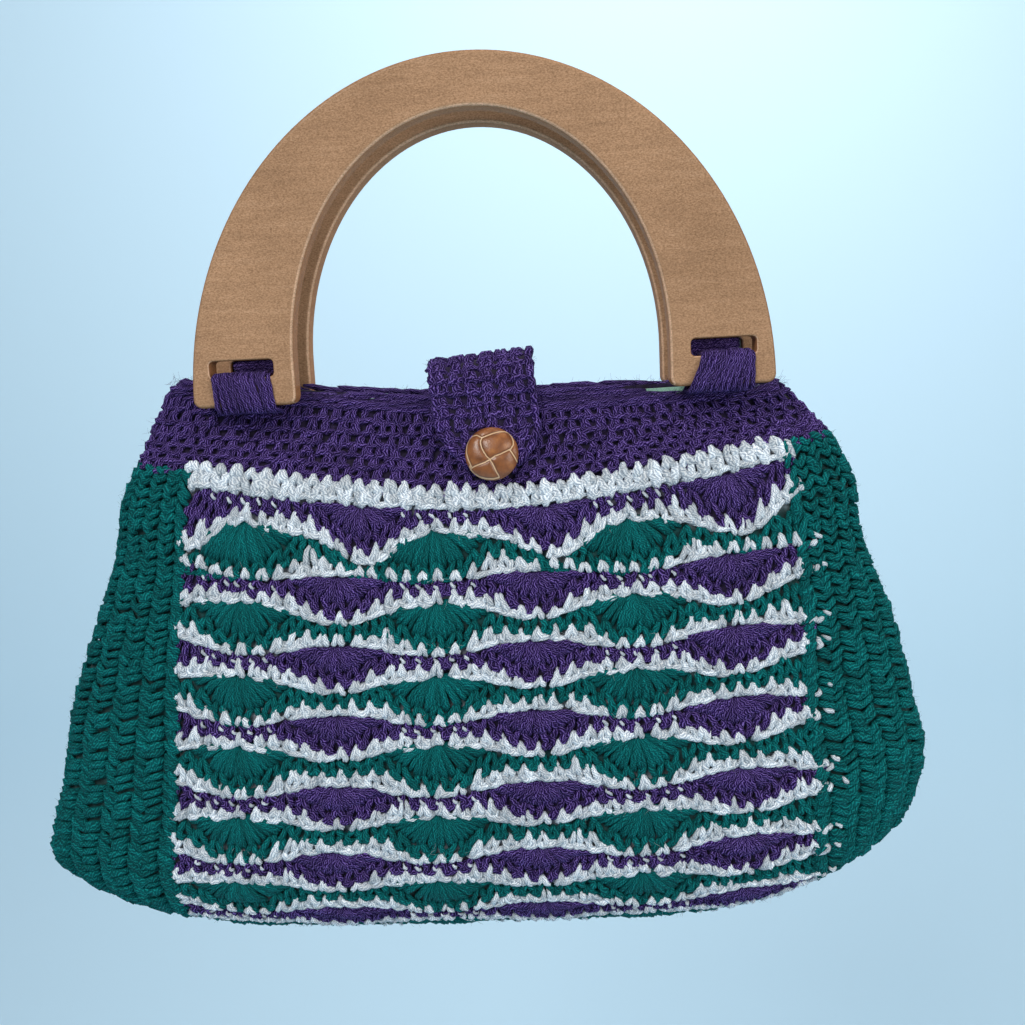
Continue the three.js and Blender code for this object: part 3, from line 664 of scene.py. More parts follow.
# Loose strands that close the mouth's edge: height over it, first and last x, front or back
for height, first, last, face in ((1.5, 14, 54, 1), (2.9, 14, 48, 1), (1.1, -60, 60, -1), (1.4, -44, -14, 1)):
    spots = np.arange(first, last, 6.0)
    angle = angle_at(0, spots) * face
    round_table = ring_angle(np.zeros(801), np.linspace(0, 1, 801))
    columns = np.interp(-angle, -round_table, np.linspace(0, 1, 801)) * ring_stitches
    points, looks, thick = crochet(ring_surface, edge_line, edge_thick, columns, np.full(len(columns), 0.6),
                                   ring_pitch, 2.0, out=-0.8)
    band_parts.append((points + (0, 0, height), looks, thick))
short_path = [0, 1, 2, 4, 5]
band_stitches = strands("band_stitches", violet_wool, *stack(*band_parts), keep=short_path)


def wool_backing(name):
    """The inner side of crochet, in the colours of its tint, rough with the strands' ends. Its tints are wool
    colours darkened, and it darkens further away from the knots: painted shade in the gaps between stitches.
    """
    finish, tree, shader = finished(name, Roughness=0.95, Sheen_Weight=0.3)
    place = node(tree, "TexCoord")
    knots = node(tree, "TexVoronoi", Scale=330.0)
    strand = node(tree, "TexNoise", Scale=900.0, Detail=3.0)
    own = node(tree, "Attribute", attribute_name="tint")
    shade = ramp(tree, (0.1, (0.95, 0.95, 0.95)), (0.8, (0.35, 0.35, 0.35)))
    thread = ramp(tree, (0.35, (0.7, 0.7, 0.7)), (0.65, (1.25, 1.25, 1.25)))
    first, second = multiply(tree), multiply(tree)
    relief = node(tree, "Bump", Strength=0.8, Distance=0.0006, invert=True)
    link(tree, (place, "Object", knots, "Vector"), (place, "Object", strand, "Vector"),
         (knots, "Distance", shade, "Fac"), (strand, "Fac", thread, "Fac"), (own, "Color", first, 6),
         (shade, "Color", first, 7), (first, 2, second, 6), (thread, "Color", second, 7),
         (second, 2, shader, "Base Color"), (knots, "Distance", relief, "Height"),
         (relief, "Normal", shader, "Normal"))
    return finish


wrong_side = wool_backing("wool_wrong_side")
# The violet under the band's and the tab's stitches is darker than the wool: painted shade in the gaps
# between stitches.
shaded_violet = (0.020, 0.008, 0.050)
band_wall = backing("band_wall", ring_surface, 120, 14, (0.6, band_run), -1.9, 1.4, wrong_side,
                    lambda a, b: shaded_violet)
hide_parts("band")


# The panel: one strip worked down the front, under the bottom and up the back. Waves of violet
# and green fans, each of about twenty tall stitches in one hole, are parted by white wool.
panel_columns = 37.5
panel_pitch = 1 / panel_columns
panel_length = float(np.interp(2 * fold_place - band_end, strip_places, strip_run)) - band_run
stripe_tops = [4.4, 27.0, 51.5, 76.3, 102.6, 128.5] + [154.3 + 25.8 * step for step in range(10)]
stripe_drops = [0, 2.6, 4.4, 4.6, 5.2, 5.6] + [5.0] * 10
fan_repeat = 11.8
first_fan = 9.75
# The first violet fans are set a little apart from the ones below them
top_repeat = 11.45
top_fan = 11.05


def panel_surface(across, down):
    """Across from 0 to 1 between the seams, down in mm from the band to the band at the back"""
    strip = np.interp(down + band_run, strip_run, strip_places)
    place = np.minimum(strip, 2 * fold_place - strip)
    share = shares(place)
    left = -share[12] * half_width(share, False)
    right = share[13] * half_width(share, True)
    angle = angle_at(place, left + (right - left) * across)
    return wall(place, np.where(strip > fold_place, -angle, angle))


def stripe_edges(column, period):
    """Tops and bottoms of a violet and the green stripe under it, in mm down the panel"""
    column = np.asarray(column, float)
    green_swell = np.cos(2 * np.pi * (column - first_fan) / fan_repeat)
    violet_swell = np.cos(2 * np.pi * (column - top_fan) / top_repeat) if period == 0 else green_swell
    swell = (green_swell + violet_swell) / 2
    violet_top = stripe_tops[period] + stripe_drops[period] * (1 - swell) / 2
    violet_end = violet_top + 5.3 + 10.2 * ((1 + violet_swell) / 2) ** 2.3
    from_green = np.abs((column - first_fan + fan_repeat) % fan_repeat / fan_repeat - 0.5) * 2
    green_top = violet_end + 1.0 + 3.6 * np.sin(np.pi * from_green ** 0.75) ** 0.8
    return violet_top, violet_end, green_top, green_top + 5.8 + 12.0 * ((1 - green_swell) / 2) ** 1.9


def worked(line, thick, columns, edge, height, out=0.0, lean=0.45, mirror=1):
    """Lays stitches of the panel along a wavy edge, leaning up its slope"""
    columns = np.asarray(columns, float)
    count = len(columns)
    wobble = chance.normal(0, 1, (count, 6))
    slope = (edge(columns + 0.4) - edge(columns - 0.4)) / 0.8 / 5.7
    tilt = lean * slope[:, None] * np.reshape(height, (-1, 1)) / 5.7 + 0.05 * wobble[:, 3:4]
    spread = mirror * line[:, 0] * (1 + 0.06 * wobble[:, :1])
    local = spread + tilt * line[:, 1] + 0.05 * wobble[:, 1:2]
    down = (edge(columns[:, None] + local) + line[:, 1] * np.reshape(height, (-1, 1))
            * (1 + 0.08 * wobble[:, 2:3]) + 0.2 * wobble[:, 4:5])
    rise = line[:, 2] + out + 0.12 * wobble[:, 5:6]
    points, looks = laid(panel_surface, (columns[:, None] + local) * panel_pitch, down, rise)
    return points, looks, np.broadcast_to(thick * (1 + 0.05 * wobble[:, 1:2]), points.shape[:2])


tooth_line = np.array([(0.02, -0.98, -0.6), (0.04, -0.84, 0.5), (0.09, -0.60, 0.8), (0.15, -0.34, 0.6),
                       (0.21, -0.10, 0.1), (0.24, 0.05, -1.4)])
tooth_thick = np.array([0.5, 0.85, 1.08, 1.2, 1.2, 0.8])


def fan(centre, top, end, strand_count=23, spread=3.15):
    """A fan's strands, from one dark hole at its top centre, bending out and down to its rim"""
    side = np.linspace(-1, 1, strand_count) + chance.normal(0, 0.018, strand_count)
    t = np.linspace(0, 1, 6)[None, :]
    reach = (side * spread)[:, None]
    start_across = (side * 0.30)[:, None]
    bow = 0.45 * np.sin(t * np.pi / 2) + 0.55 * t
    across = centre + start_across + (reach - start_across) * bow
    aside = np.abs(side[:, None])
    bend = (0.5 * (1 - np.cos(t * np.pi / 2)) + 0.5 * t) * aside + t * (1 - aside)
    brim = side[:, None] ** 4
    rim = (end(centre + reach) - 5.4) * (1 - brim) + (top(centre + reach) + 0.9) * brim
    root = top(np.array([centre]))[0] + 0.2 + 0.1 * aside
    down = root + (rim - root) * bend
    dome = np.sin(np.pi * np.clip(t, 0.02, 0.96)) ** 0.6
    out = -1.7 + (2.1 + 0.5 * (1 - side[:, None] ** 2)) * dome + chance.normal(0, 0.12, (strand_count, 1))
    points, looks = laid(panel_surface, across * panel_pitch, down, out)
    swelling = np.array([0.45, 0.75, 0.98, 1.12, 1.15, 0.8])
    return points, looks, swelling * (1 + 0.07 * chance.normal(0, 1, (strand_count, 1)))


def coloured_stripe(period, first_edge, last_edge, fans, face_range):
    """Violet or green stripe: fans in their places, and single crochet along its lower edge"""
    def top(column):
        return stripe_edges(column, period)[first_edge]

    def end(column):
        return stripe_edges(column, period)[last_edge]

    parts = []
    columns = np.linspace(0.2, panel_columns - 0.2, 38)
    middle = end(columns) - 2.4
    columns = columns[(middle > face_range[0]) & (middle < face_range[1])]
    if len(columns) == 0:
        return parts
    offset = np.min(np.abs(columns[:, None] - np.array(fans)[None, :]), axis=1)
    low, row = 0.4, 0
    tall = end(columns) - top(columns)
    while row < 4:
        left = tall - low
        chosen = (left > 1.4) & ((offset > 2.9) | (low < 4))
        if not chosen.any():
            break
        spot = columns[chosen] + 0.5 * (row % 2)
        reach = np.minimum(left[chosen], 3.5) + 0.5
        for mirror in (-1, 1):
            parts.append(worked(leg_line * (0.9, 1, 1), leg_thick * 0.92, spot, lambda c: end(c) - low, reach,
                                mirror=mirror, out=0.1 - 0.1 * row))
        if row == 0:
            parts.append(worked(chain_line, chain_thick, spot, lambda c: end(c) - 0.8, 3.0, out=-0.1))
        low += 2.9
        row += 1
    for centre in fans:
        spot = (top(np.array([centre]))[0] + end(np.array([centre]))[0]) / 2
        if face_range[0] < spot < face_range[1]:
            parts.append(fan(centre, top, end))
    return parts


def white_row(above, below, face_range, out=0.2, plump=1.0):
    """White single crochet between an upper and a lower edge, its teeth reaching up past the upper"""
    columns = np.linspace(0.1, panel_columns - 0.1, 39)
    columns = columns + chance.normal(0, 0.05, len(columns))
    middle = (above(columns) + below(columns)) / 2
    columns = columns[(middle > face_range[0]) & (middle < face_range[1])]
    if len(columns) == 0:
        return []
    tall = np.maximum(below(columns) - above(columns), 0)
    reach = np.maximum(np.minimum(tall, 2.4) + 2.3, 3.8) * (1 + 0.12 * chance.normal(0, 1, len(columns)))

    def foot(column):
        return np.minimum(below(column) - 0.4, above(column) + 2.2)

    parts = [worked(tooth_line, tooth_thick * plump, columns, foot, reach * factor, out=out, mirror=mirror)
             for factor, mirror in ((1, -1), (0.94, 1))]
    edging = columns[tall > 1.9]
    if len(edging):
        parts.append(worked(chain_line, chain_thick * 1.1, edging + 0.5 * chance.random(len(edging)),
                            lambda c: below(c) - 0.9, 2.0, out=out + 0.1, lean=0))
    body = columns[tall > 2.8]
    if len(body) and face_range[0] < 0:
        for mirror in (-1, 1):
            parts.append(worked(leg_line * (1.1, 1, 1), leg_thick * plump, body + 0.5,
                                lambda c: below(c) - 0.6, below(body) - above(body) - 0.6, out=out,
                                mirror=mirror))
    return parts


green_wool = spun_wool("green_wool", (0.000, 0.052, 0.056), (0.000, 0.096, 0.100), (0.006, 0.230, 0.225))
white_wool = spun_wool("white_wool", (0.33, 0.38, 0.45), (0.69, 0.78, 0.85), (0.98, 1.0, 1.0))
periods = sum(top < panel_length - 3 for top in stripe_tops)
top_centres = [top_fan + top_repeat * step for step in range(3)]
violet_centres = [first_fan + fan_repeat * step for step in range(3)]
green_centres = [first_fan + fan_repeat * (step - 0.5) for step in range(3)]
panel_faces = {"front": (-2.0, fold_run - band_run), "back": (fold_run - band_run, panel_length - 2.0)}
for face_name, face_range in panel_faces.items():
    violet_parts, green_parts, white_parts = [], [], []
    white_parts += white_row(lambda c: -1.6 - 1.7 * (c / 18.75 - 1) ** 2, lambda c: stripe_edges(c, 0)[0],
                             face_range, out=0.7, plump=1.28)
    white_parts += white_row(lambda c: np.full_like(c, panel_length - 6.0),
                             lambda c: np.full_like(c, panel_length - 0.3), face_range, out=0.9)
    for period in range(periods):
        centres = top_centres if period == 0 else violet_centres
        violet_parts += coloured_stripe(period, 0, 1, centres, face_range)
        green_parts += coloured_stripe(period, 2, 3, green_centres, face_range)
        white_parts += white_row(lambda c: stripe_edges(c, period)[1], lambda c: stripe_edges(c, period)[2],
                                 face_range)
        white_parts += white_row(lambda c: stripe_edges(c, period)[3],
                                 lambda c: stripe_edges(c, period + 1)[0], face_range)
        narrow = np.arange(0.5, panel_columns, 1)
        narrow = narrow[np.cos(2 * np.pi * (narrow - first_fan) / fan_repeat) < -0.25]
        violet_top = stripe_edges(narrow, period)[0]
        narrow = narrow[(violet_top > face_range[0]) & (violet_top < face_range[1])]
        if len(narrow):
            narrow = narrow + chance.normal(0, 0.12, len(narrow))
            white_parts.append(worked(tooth_line * (1, 0.45, 1), tooth_thick * 0.5, narrow,
                                      lambda c: stripe_edges(c, period)[0] + 2.6, 3.6, out=0.6))
    for colour, parts, wool, slot in [("violet", violet_parts, violet_wool, "violet_yarn"),
                                      ("green", green_parts, green_wool, "green_yarn"),
                                      ("white", white_parts, white_wool, "panel_yarn")]:
        piece = strands("panel_" + colour + "_" + face_name, wool, *stack(*parts),
                        **({} if face_name == "front" else {"sides": 4, "keep": short_path}))


def panel_wool(across, down):
    """Which wool lies at a place of the panel"""
    column = across * panel_columns
    period = max(0, sum(top - 1 <= down for top in stripe_tops) - 1)
    edges = [float(edge) for edge in stripe_edges(column, period)]
    if edges[0] - 0.6 <= down <= edges[1] + 0.6:
        return "violet"
    return "green" if edges[2] - 0.6 <= down <= edges[3] + 0.6 else "white"


seam_line = np.array([(-0.34, 0.42, -1.4), (-0.22, 0.26, 0.2), (-0.06, 0.06, 0.9), (0.1, -0.14, 0.9),
                      (0.25, -0.32, 0.2), (0.36, -0.46, -1.4)])
seam_parts = []
for column, mirror in ((-0.25, -1), (panel_columns + 0.25, 1)):
    downs = np.arange(1.0, panel_length - 1, 3.7)
    seam_parts.append(crochet(panel_surface, seam_line, chain_thick * 1.1, np.full(len(downs), column), downs,
                              panel_pitch, 6.0, mirror=mirror, loose=1.5))
seam = strands("seam_stitches", green_wool, *stack(*seam_parts))
dot_parts = []
for column, mirror in ((panel_columns + 0.7, 1), (panel_columns + 1.3, -1)):
    downs = np.array([stripe_edges(np.clip(column, 0, panel_columns), period)[edge] + shift
                      for period in range(periods) for edge, shift in ((0, -1.5), (1, 1.5))], float)
    downs = downs + 2.0 * mirror * chance.random()
    downs = downs[(downs > 14) & (downs < panel_length - 3)]
    dot_parts.append(crochet(panel_surface, seam_line * (0.5, 0.55, 1), chain_thick * 0.75,
                             column + chance.normal(0, 0.15, len(downs)), downs, panel_pitch, 4.0, out=0.9,
                             mirror=mirror, loose=2.0))
dots = strands("seam_dots", white_wool, *stack(*dot_parts))


# The walls under the panel's stitches take its wools' colours darkened: painted shade in the gaps between
# stitches.
shaded_wall_tints = {"violet": shaded_violet, "green": (0.000, 0.060, 0.060), "white": (0.36, 0.38, 0.42)}
panel_wall = backing("panel_wall", panel_surface, 76, 100, (0.2, panel_length - 0.2), -1.8, 1.4, wrong_side,
                     lambda a, b: shaded_wall_tints[panel_wool(a, b)])
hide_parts("patterned_panel")


# The gussets: one at each side, in green wool worked in upright rows back and forth, so the
# stitches of each pair of rows lean together in a rib. They are sewn to the panel down both seams.
gusset_rows = 18
gusset_surfaces = {}
gusset_step = 2.95
gusset_run = fold_run - band_run
rib_line = np.array([(0.10, -0.56, -2.3), (0.16, -0.40, -1.2), (0.26, -0.12, 0.3), (0.38, 0.18, 1.0),
                     (0.50, 0.44, 0.7), (0.56, 0.64, -0.7)])
rib_thick = np.array([0.9, 1.25, 1.5, 1.6, 1.45, 0.85])
for side, side_name in ((-1, "left"), (1, "right")):
    if side < 0:
        side_angle = even_round(lambda place: 2 * np.pi - seam_angle(place, -1),
                                lambda place: seam_angle(place, -1))
    else:
        side_angle = even_round(lambda place: seam_angle(place, 1), lambda place: -seam_angle(place, 1))

    def gusset_surface(across, down, side_angle=side_angle):
        place = np.minimum(np.interp(down + band_run, strip_run, strip_places), fold_place)
        return wall(place, side_angle(place, across))

    gusset_surfaces[side] = gusset_surface
    gusset_parts = []
    for row in range(gusset_rows):
        steps = np.arange(-2.0, gusset_run - 0.5, gusset_step)
        steps = steps + chance.normal(0, 0.3, len(steps))
        turned = 1 if row % 2 else -1
        wobble = chance.normal(0, 1, (len(steps), 6))
        chunk = (0.94 + 0.16 * steps / gusset_run)[:, None]
        local_down = rib_line[:, 0] * 6.0 * (1 + 0.10 * wobble[:, :1])
        local_across = turned * rib_line[:, 1] * (1 + 0.08 * wobble[:, 1:2]) + 0.06 * wobble[:, 2:3]
        across = np.clip((row + 0.5 + local_across) / gusset_rows, 0.001, 0.999)
        down = np.minimum(steps[:, None] + local_down + 0.3 * wobble[:, 3:4], gusset_run - 0.3)
        points, looks = laid(gusset_surface, across, down, rib_line[:, 2] + 0.2 * wobble[:, 4:5])
        gusset_parts.append((points, looks, rib_thick * chunk * (1 + 0.10 * wobble[:, 5:6])))
    piece = strands("gusset_stitches_" + side_name, green_wool, *stack(*gusset_parts), keep=short_path)
    # The gusset's wall is a darkened green: painted shade between its ribs.
    gusset_wall = backing("gusset_wall_" + side_name, gusset_surface, 32, 44, (0.2, gusset_run - 0.2),
                          -2.0, 1.4, wrong_side, lambda a, b: (0.000, 0.075, 0.075))
    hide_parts("gusset_" + side_name)


# The loops: violet wool wound in two layers, a dozen turns and then eleven, through each slot, over
# the rail below it, down the handle's face and under the foot, and fastened off in the band.
def edge_spot(x, face, place=0.0):
    """A point of the bag under the handles: face is 1 at the front, -1 at the back"""
    return wall(np.array([place]), np.array([face * angle_at(place, x)]))[0]


loop_half = 10.4
turns = 12
inner_face = board_middle - board_thick / 2
outer_face = board_middle + board_thick / 2
rail_top = foot_bottom + slot_lift - slot_height / 2
rail_rounding = 1.8
for loop_name, side, face, narrowing, spread in [
        ("loop_front_left", -1, 1, 0, 0.6), ("loop_front_right", 1, 1, 2.6, 4.0),
        ("loop_back_left", -1, -1, 1, 1.0), ("loop_back_right", 1, -1, 1, 1.0)]:
    outer_edge = side * (slot_middle + loop_half)
    inner_edge = side * (slot_middle - loop_half + narrowing)
    seat = edge_spot(slot_middle * side, face)
    under = edge_spot(slot_middle * side, face, 0.25)
    loop_paths, loop_looks = [], []
    for layer in range(2):
        for turn in range(turns - layer):
            share = (turn + 0.5 + layer * 0.5) / turns
            x = outer_edge + (inner_edge - outer_edge) * share
            stand = 0.55 + 0.55 * layer
            bow = stand + rail_rounding
            line = [(abs(seat[1]) - 1.2, seat[2] - 2.0),
                    (inner_face - stand - 0.6, (rail_top + seat[2]) / 2)]
            line += [(inner_face + rail_rounding + bow * math.cos(a),
                      rail_top - rail_rounding + bow * math.sin(a))
                     for a in (math.radians(d) for d in (175, 135, 95))]
            line += [(outer_face - rail_rounding + bow * math.cos(a),
                      rail_top - rail_rounding + bow * math.sin(a))
                     for a in (math.radians(d) for d in (85, 45, 5))]
            line += [(outer_face + stand, -90.5), (outer_face + stand, -93),
                     (outer_face - rail_rounding + bow * 0.98, foot_bottom + 0.6),
                     (outer_face - rail_rounding + bow * 0.6, foot_bottom - bow * 0.75 + 0.6),
                     (12.6, foot_bottom - stand - 0.8),
                     (abs(under[1]) + 0.4, foot_bottom - 2.6), (abs(under[1]) - 0.6, foot_bottom - 5.0)]
            line = np.array(line)
            fall = np.clip((rail_top - line[:, 1]) / 10.2, 0, 1.6)
            lean = -side * spread * fall * share
            drift = 0.9 * np.cumsum(np.ones(len(line))) / len(line) * (1 if layer == 0 else -0.3)
            skew = 3.4 * (np.clip(fall, 0, 1) - 0.5) * (1 if side < 0 else -1) * np.sin(np.pi * share)
            xs = x + lean + skew + drift - 0.4 + chance.normal(0, 0.10)
            xs = xs + 0.10 * chance.normal(0, 1, len(line))
            path = np.stack([xs, -face * line[:, 0], line[:, 1]], -1)
            hub = np.array([xs[6], -face * board_middle, -92.0])
            look = path - hub
            look[:, 0] = 0
            look /= np.linalg.norm(look, axis=-1, keepdims=True)
            loop_paths.append(path)
            loop_looks.append(look)
    loop_paths, loop_looks = np.array(loop_paths), np.array(loop_looks)
    # The back slots are filled lengthwise, so that the front ones aren't looked through
    if face < 0:
        for height in (-85.0, -83.6, -82.4, -81.4):
            for depth in (10.6, 12.4, 14.2, 16.0):
                xs = slot_middle * side + np.linspace(-10.6, 10.6, loop_paths.shape[1])
                path = np.stack([xs, np.full_like(xs, depth), height + 0.2 * np.sin(xs + depth)], -1)
                loop_paths = np.concatenate([loop_paths, path[None]])
                look = np.broadcast_to([0, -0.6, 0.8], path.shape)
                loop_looks = np.concatenate([loop_looks, look[None]])
    loop_thick = np.full(loop_paths.shape[:2], 0.86)
    loop_thick[:, [0, -1]] = 0.6
    piece = strands(loop_name + "_yarn", violet_wool, loop_paths, loop_looks, loop_thick, sides=8,
                    wiggle=0.05)
    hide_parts(loop_name)


# The closure tab: rows of violet single crochet, sewn to the back edge. It stands up over
# the mouth, comes down the front and narrows to the button, which slips through a hole in it.
def band_face(share):
    """The middle of the band's front, at a share of its depth"""
    return wall(np.array([band_end * share]), np.array([np.pi / 2]))[0]


tab_back = [edge_spot(x, -1) for x in (-18.9, 0, 18.9)]
tab_root_y = min(spot[1] for spot in tab_back) - 1.5
tab_root_z = max(spot[2] for spot in tab_back) + 0.3
tab_top = foot_bottom + 14 - 1.5
tab_front = band_face(0)
tab_front_y = tab_front[1] - 1.8
tab_points = [(tab_root_y, tab_root_z), (tab_root_y, (tab_root_z + tab_top) / 2),
              (tab_root_y * 0.6, tab_top - 0.9), (0, tab_top), (tab_front_y * 0.6, tab_top - 0.9),
              (tab_front_y, (tab_front[2] + tab_top) / 2)]
for share in (0.07, 0.3, 0.55, 0.8, 1.0):
    spot_on_band = band_face(share * 0.72)
    tab_points.append((spot_on_band[1] - 1.8, spot_on_band[2]))
tab_points = np.array(tab_points)
# A smooth curve through the tab's points
padded = np.vstack([2 * tab_points[0] - tab_points[1], tab_points, 2 * tab_points[-1] - tab_points[-2]])
fine = []
for index in range(len(tab_points) - 1):
    for t in np.arange(0, 1, 0.1):
        p0, p1, p2, p3 = padded[index:index + 4]
        bend = 2 * p0 - 5 * p1 + 4 * p2 - p3 + t * (3 * (p1 - p2) + p3 - p0)
        fine.append(p1 + 0.5 * t * (p2 - p0 + t * bend))
fine = np.array([*fine, tab_points[-1]])
tab_run = np.concatenate([[0], np.cumsum(np.linalg.norm(np.diff(fine, axis=0), axis=-1))])
tab_length = float(tab_run[-1])
tab_shoulder = tab_length - 9.0


def tab_surface(across, down):
    """Across from 0 to 1 over the tab, seen from the front, and down in mm from its root at the back"""
    down = np.asarray(down, float)
    y, z = (np.interp(down, tab_run, fine[:, axis]) for axis in (0, 1))
    taper = np.clip((down - tab_shoulder + 5) / 14, 0, 1)
    half = 17.4 - 9.5 * taper ** 1.6
    middle = np.interp(down, [0, tab_length * 0.5, tab_length], [-1.1, -1.1, 2.4])
    x = middle + (2 * np.asarray(across) - 1) * half
    slant = x * 0.1 * np.clip((z - foot_bottom) / 14, 0, 1)
    x, y, z, slant = np.broadcast_arrays(x, y, z, slant)
    return np.stack([x, y, z + slant], -1)


tab_parts = []
tab_across = 6.3
tab_rows = int((tab_length + 1) // 4.2)
tab_edge_line = np.array([(0, -0.75, -1.2), (0.02, -0.45, 0.4), (0.05, -0.15, 1.2), (0.05, 0.2, 1.2),
                          (0.02, 0.5, 0.5), (0, 0.8, -1.2)])
for row in range(1, tab_rows + 1):
    down = row * 4.2
    columns = np.arange(0.5, tab_across, 1.0) + 0.08 * (row % 2)
    downs = np.full(len(columns), down)
    for mirror in (-1, 1):
        tab_parts.append(crochet(tab_surface, leg_line * (0.66, 1, 1) + (0, 0, 1.5), leg_thick * 0.88,
                                 columns, downs, 1 / tab_across, 4.6, mirror=mirror, lean=0.05, loose=1.5))
    tab_parts.append(crochet(tab_surface, chain_line + (0, 0, 1.5), chain_thick, columns, downs,
                             1 / tab_across, 3.8, loose=1.5))
    for edge_column in (0.02, tab_across - 0.02):
        tab_parts.append(crochet(tab_surface, tab_edge_line, chain_thick * 1.25, np.array([edge_column]),
                                 np.array([down - 1.8]), 1 / tab_across, 4.0))
tab_stitches = strands("tab_stitches", violet_wool, *stack(*tab_parts), sides=6)
# Darkened violet under the tab's stitches: painted shade in the gaps.
tab_wall = backing("tab_wall", tab_surface, 20, 36, (0.2, tab_length - 0.6), -0.2, 2.2, wrong_side,
                   lambda a, b: shaded_violet)
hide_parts("closure_tab")


# The button: a domed button covered in plaited leather, four brown strips woven over and under, with
# pale grooves between them, on a shank sewn through the tab's hole.

# The grooves' lines on the button's face, in mm from its middle
plait = [
    [(-0.6, -2.3), (-1.7, -1.1), (-2.5, 0.2), (-3.2, 1.6), (-3.6, 3.1), (-3.6, 4.4), (-3.1, 5.5)],
    [(-3.1, 5.5), (-1.2, 6.2), (0.8, 6.9), (3.0, 7.4), (4.9, 7.5), (6.2, 7.0), (7.2, 5.6), (7.7, 4.0),
     (7.7, 2.6), (6.8, 1.2)],
    [(-0.6, -2.3), (1.2, -1.2), (3.2, -0.5), (5.2, 0.4), (6.8, 1.2)],
    [(6.4, 0.9), (7.2, -0.3), (8.1, -1.9), (8.9, -3.6)],
    [(-0.6, -2.3), (0.2, -3.6), (0.9, -5.2), (1.5, -6.7), (2.3, -8.2)],
    [(-0.6, -2.3), (-2.4, -3.2), (-4.4, -3.8), (-6.0, -4.3), (-7.4, -4.9)],
    [(-7.3, -4.2), (-8.2, -1.9), (-8.8, 0.6), (-8.6, 3.2), (-7.8, 5.2), (-6.5, 6.4), (-4.9, 6.6),
     (-3.1, 5.5)],
    [(-7.9, -4.0), (-7.5, -5.4), (-6.4, -6.8), (-4.6, -8.0), (-2.2, -8.7), (0.2, -8.9), (2.3, -8.5)],
]


def groove_distance(x, y):
    """How far a place on the button's face is from the nearest groove, in mm"""
    nearest = np.full(x.shape, 99.0)
    for line in plait:
        for (x0, y0), (x1, y1) in zip(line, line[1:]):
            t = ((x - x0) * (x1 - x0) + (y - y0) * (y1 - y0)) / ((x1 - x0) ** 2 + (y1 - y0) ** 2)
            t = np.clip(t, 0, 1)
            nearest = np.minimum(nearest, np.hypot(x - x0 - t * (x1 - x0), y - y0 - t * (y1 - y0)))
    return nearest


button_leather, tree, shader = finished("plaited_leather", Roughness=0.36, Specular_IOR_Level=0.5,
                                        Coat_Weight=0.4, Coat_Roughness=0.3)
place = node(tree, "TexCoord")
mottle = node(tree, "TexNoise", Scale=260.0, Detail=4.0, Roughness=0.6)
grain = node(tree, "TexVoronoi", Scale=1500.0)
brown = ramp(tree, (0.30, (0.130, 0.036, 0.006)), (0.55, (0.260, 0.084, 0.018)),
             (0.75, (0.400, 0.150, 0.036)))
depth = node(tree, "Attribute", attribute_name="tone")
cream_grooves_and_shade = node(tree, "Mix", data_type="RGBA", blend_type="MIX")
brown_with_edge_shade = multiply(tree)
# The leather beside each groove is painted darker: painted shade where the strips dip into the grooves. The
# grooves themselves are mixed to pale cream.
groove_edge_shade = ramp(tree, (0.05, (1.0, 1.0, 1.0)), (0.5, (0.55, 0.50, 0.48)))
in_groove = ramp(tree, (0.50, (0.0, 0.0, 0.0)), (0.85, (1.0, 1.0, 1.0)))
relief = node(tree, "Bump", Strength=0.25, Distance=0.0002)
cream_grooves_and_shade.inputs[7].default_value = (0.66, 0.43, 0.24, 1)
link(tree, (place, "Object", mottle, "Vector"), (place, "Object", grain, "Vector"),
     (mottle, "Fac", brown, "Fac"), (depth, "Fac", groove_edge_shade, "Fac"), (depth, "Fac", in_groove, "Fac"),
     (brown, "Color", brown_with_edge_shade, 6), (groove_edge_shade, "Color", brown_with_edge_shade, 7), (brown_with_edge_shade, 2, cream_grooves_and_shade, 6),
     (in_groove, "Color", cream_grooves_and_shade, 0), (cream_grooves_and_shade, 2, shader, "Base Color"),
     (grain, "Distance", relief, "Height"), (relief, "Normal", shader, "Normal"))

button_radius = 9.4
button_height = 5.4
button_rim = 1.62
button_aside = 2.2
shank_length = 3.2
shank_radius = 2.2
dome = bmesh.new()
dome_line = [(0, 0.4), (shank_radius, 0.4), (shank_radius, shank_length),
             (button_radius - button_rim, shank_length),
             *arc((0, shank_length + button_rim), (button_radius, button_height - button_rim), -0.2,
                  math.pi / 2, 40)]
dome_points = [dome.verts.new((max(r, 0), 0, h)) for r, h in dome_line]
dome_edges = [dome.edges.new(pair) for pair in zip(dome_points, dome_points[1:])]
bmesh.ops.spin(dome, geom=[*dome_points, *dome_edges], cent=(0, 0, 0), axis=(0, 0, 1), angle=2 * math.pi,
               steps=144, use_merge=True)
bmesh.ops.remove_doubles(dome, verts=dome.verts, dist=0.0005)
bmesh.ops.recalc_face_normals(dome, faces=dome.faces)
tone = dome.verts.layers.float_color.new("tone")
spots = np.array([v.co for v in dome.verts])
gap = groove_distance(spots[:, 0], spots[:, 1])
face_side = spots[:, 2] > shank_length + 0.9
groove = np.where(face_side, np.exp(-(gap / 0.36) ** 2), 0)
spots[:, 2] += np.where(face_side, 0.30 * (1 - np.exp(-(gap / 1.3) ** 2)) - 0.35 * groove, 0)
button_middle = band_face(0.62)
button_slope = band_face(0.72) - band_face(0.52)
button_look = np.array([0, button_slope[2], -button_slope[1]])
button_look = button_look / np.hypot(button_slope[1], button_slope[2])
button_up = np.array([0, button_look[2], -button_look[1]])
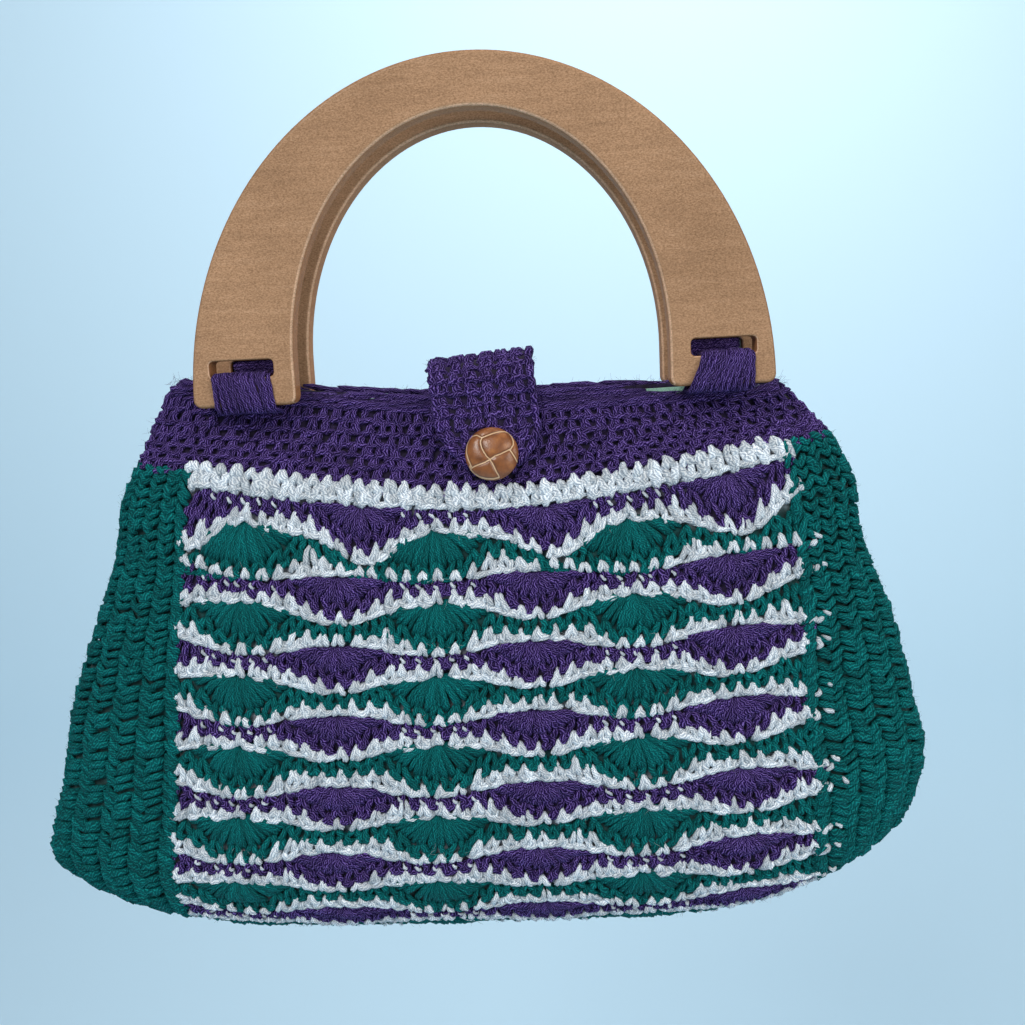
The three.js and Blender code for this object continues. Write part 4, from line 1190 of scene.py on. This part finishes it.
for vert, spot, depth_here in zip(dome.verts, spots, groove):
    vert.co = (np.array([button_aside, button_middle[1], button_middle[2]]) + spot[0] * np.array([1, 0, 0])
               + spot[1] * button_up + spot[2] * button_look) / 1000
    vert[tone] = (depth_here, depth_here, depth_here, 1)
for face in dome.faces:
    face.smooth = True
button = show("button_plaited", dome, button_leather)
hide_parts("button")


# The fuzz: fine loose ends of fibre that stand off all the wool, most along the edges. They are
# part of the spun wool itself.
def fuzz(surface, columns, downs, length=2.6, rise=1.3):
    """Hairs that start among the strands at places of a surface and curl outwards"""
    count = len(columns)
    start, looks = laid(surface, columns, downs, np.full(count, 0.9))
    aside = np.cross(looks, chance.normal(0, 1, (count, 3)))
    aside /= np.maximum(np.linalg.norm(aside, axis=-1, keepdims=True), 1e-9)
    curl = np.cross(looks, aside)
    t = np.linspace(0, 1, 3)[None, :, None]
    run = length * chance.uniform(0.5, 1.3, (count, 1, 1))
    height = rise * chance.uniform(0.2, 1.6, (count, 1, 1))
    bend = chance.normal(0, 0.5, (count, 1, 1))
    lift = looks[:, None] * height + curl[:, None] * bend * run
    paths = start[:, None] + aside[:, None] * run * t + lift * t**2
    return paths, np.repeat(curl[:, None], 3, 1), np.broadcast_to([0.045, 0.04, 0.025], (count, 3))


def scattered(count, across_range, down_range):
    """Random places on a surface, across and down"""
    return chance.uniform(*across_range, count), chance.uniform(*down_range, count)


# The violet and green fuzz is a lighter tone of its wool: painted glow of light through the thin fibres.
lit_violet_hair = spun_wool("violet_fuzz", (0.035, 0.020, 0.085), (0.085, 0.055, 0.180), (0.170, 0.120, 0.330))
lit_green_hair = spun_wool("green_fuzz", (0.004, 0.080, 0.075), (0.010, 0.150, 0.135), (0.030, 0.300, 0.270))
white_hair = spun_wool("white_fuzz", (0.60, 0.62, 0.65), (0.75, 0.77, 0.80), (0.95, 0.95, 0.95))
hairs = {"violet": [fuzz(ring_surface, *scattered(1100, (0, 1), (0, band_run))),
                    fuzz(ring_surface, *scattered(1300, (0, 1), (0, 1.6)), rise=1.6),
                    fuzz(tab_surface, *scattered(160, (0, 1), (0, tab_length))),
                    fuzz(tab_surface, *scattered(150, (0, 0.03), (0, tab_length))),
                    fuzz(tab_surface, *scattered(150, (0.97, 1), (0, tab_length)))],
         "green": [], "white": []}
for side in (-1, 1):
    for count, share_range in ((480, (0.0, 1.0)), (420, (0.40, 0.60))):
        across, down = scattered(count, share_range, (0, fold_run - band_run))
        hairs["green"].append(fuzz(gusset_surfaces[side], across, down))
across, down = scattered(1900, (0, 1), (0, fold_run - band_run + 15))
wool_at = np.array([panel_wool(a, d) for a, d in zip(across, down)])
for colour in hairs:
    hairs[colour].append(fuzz(panel_surface, across[wool_at == colour], down[wool_at == colour]))
for colour, finish, slot in [("violet", lit_violet_hair, "violet_yarn"), ("green", lit_green_hair, "green_yarn"),
                             ("white", white_hair, "panel_yarn")]:
    piece = strands("fuzz_" + colour, finish, *stack(*hairs[colour]), sides=3, wiggle=0.0)
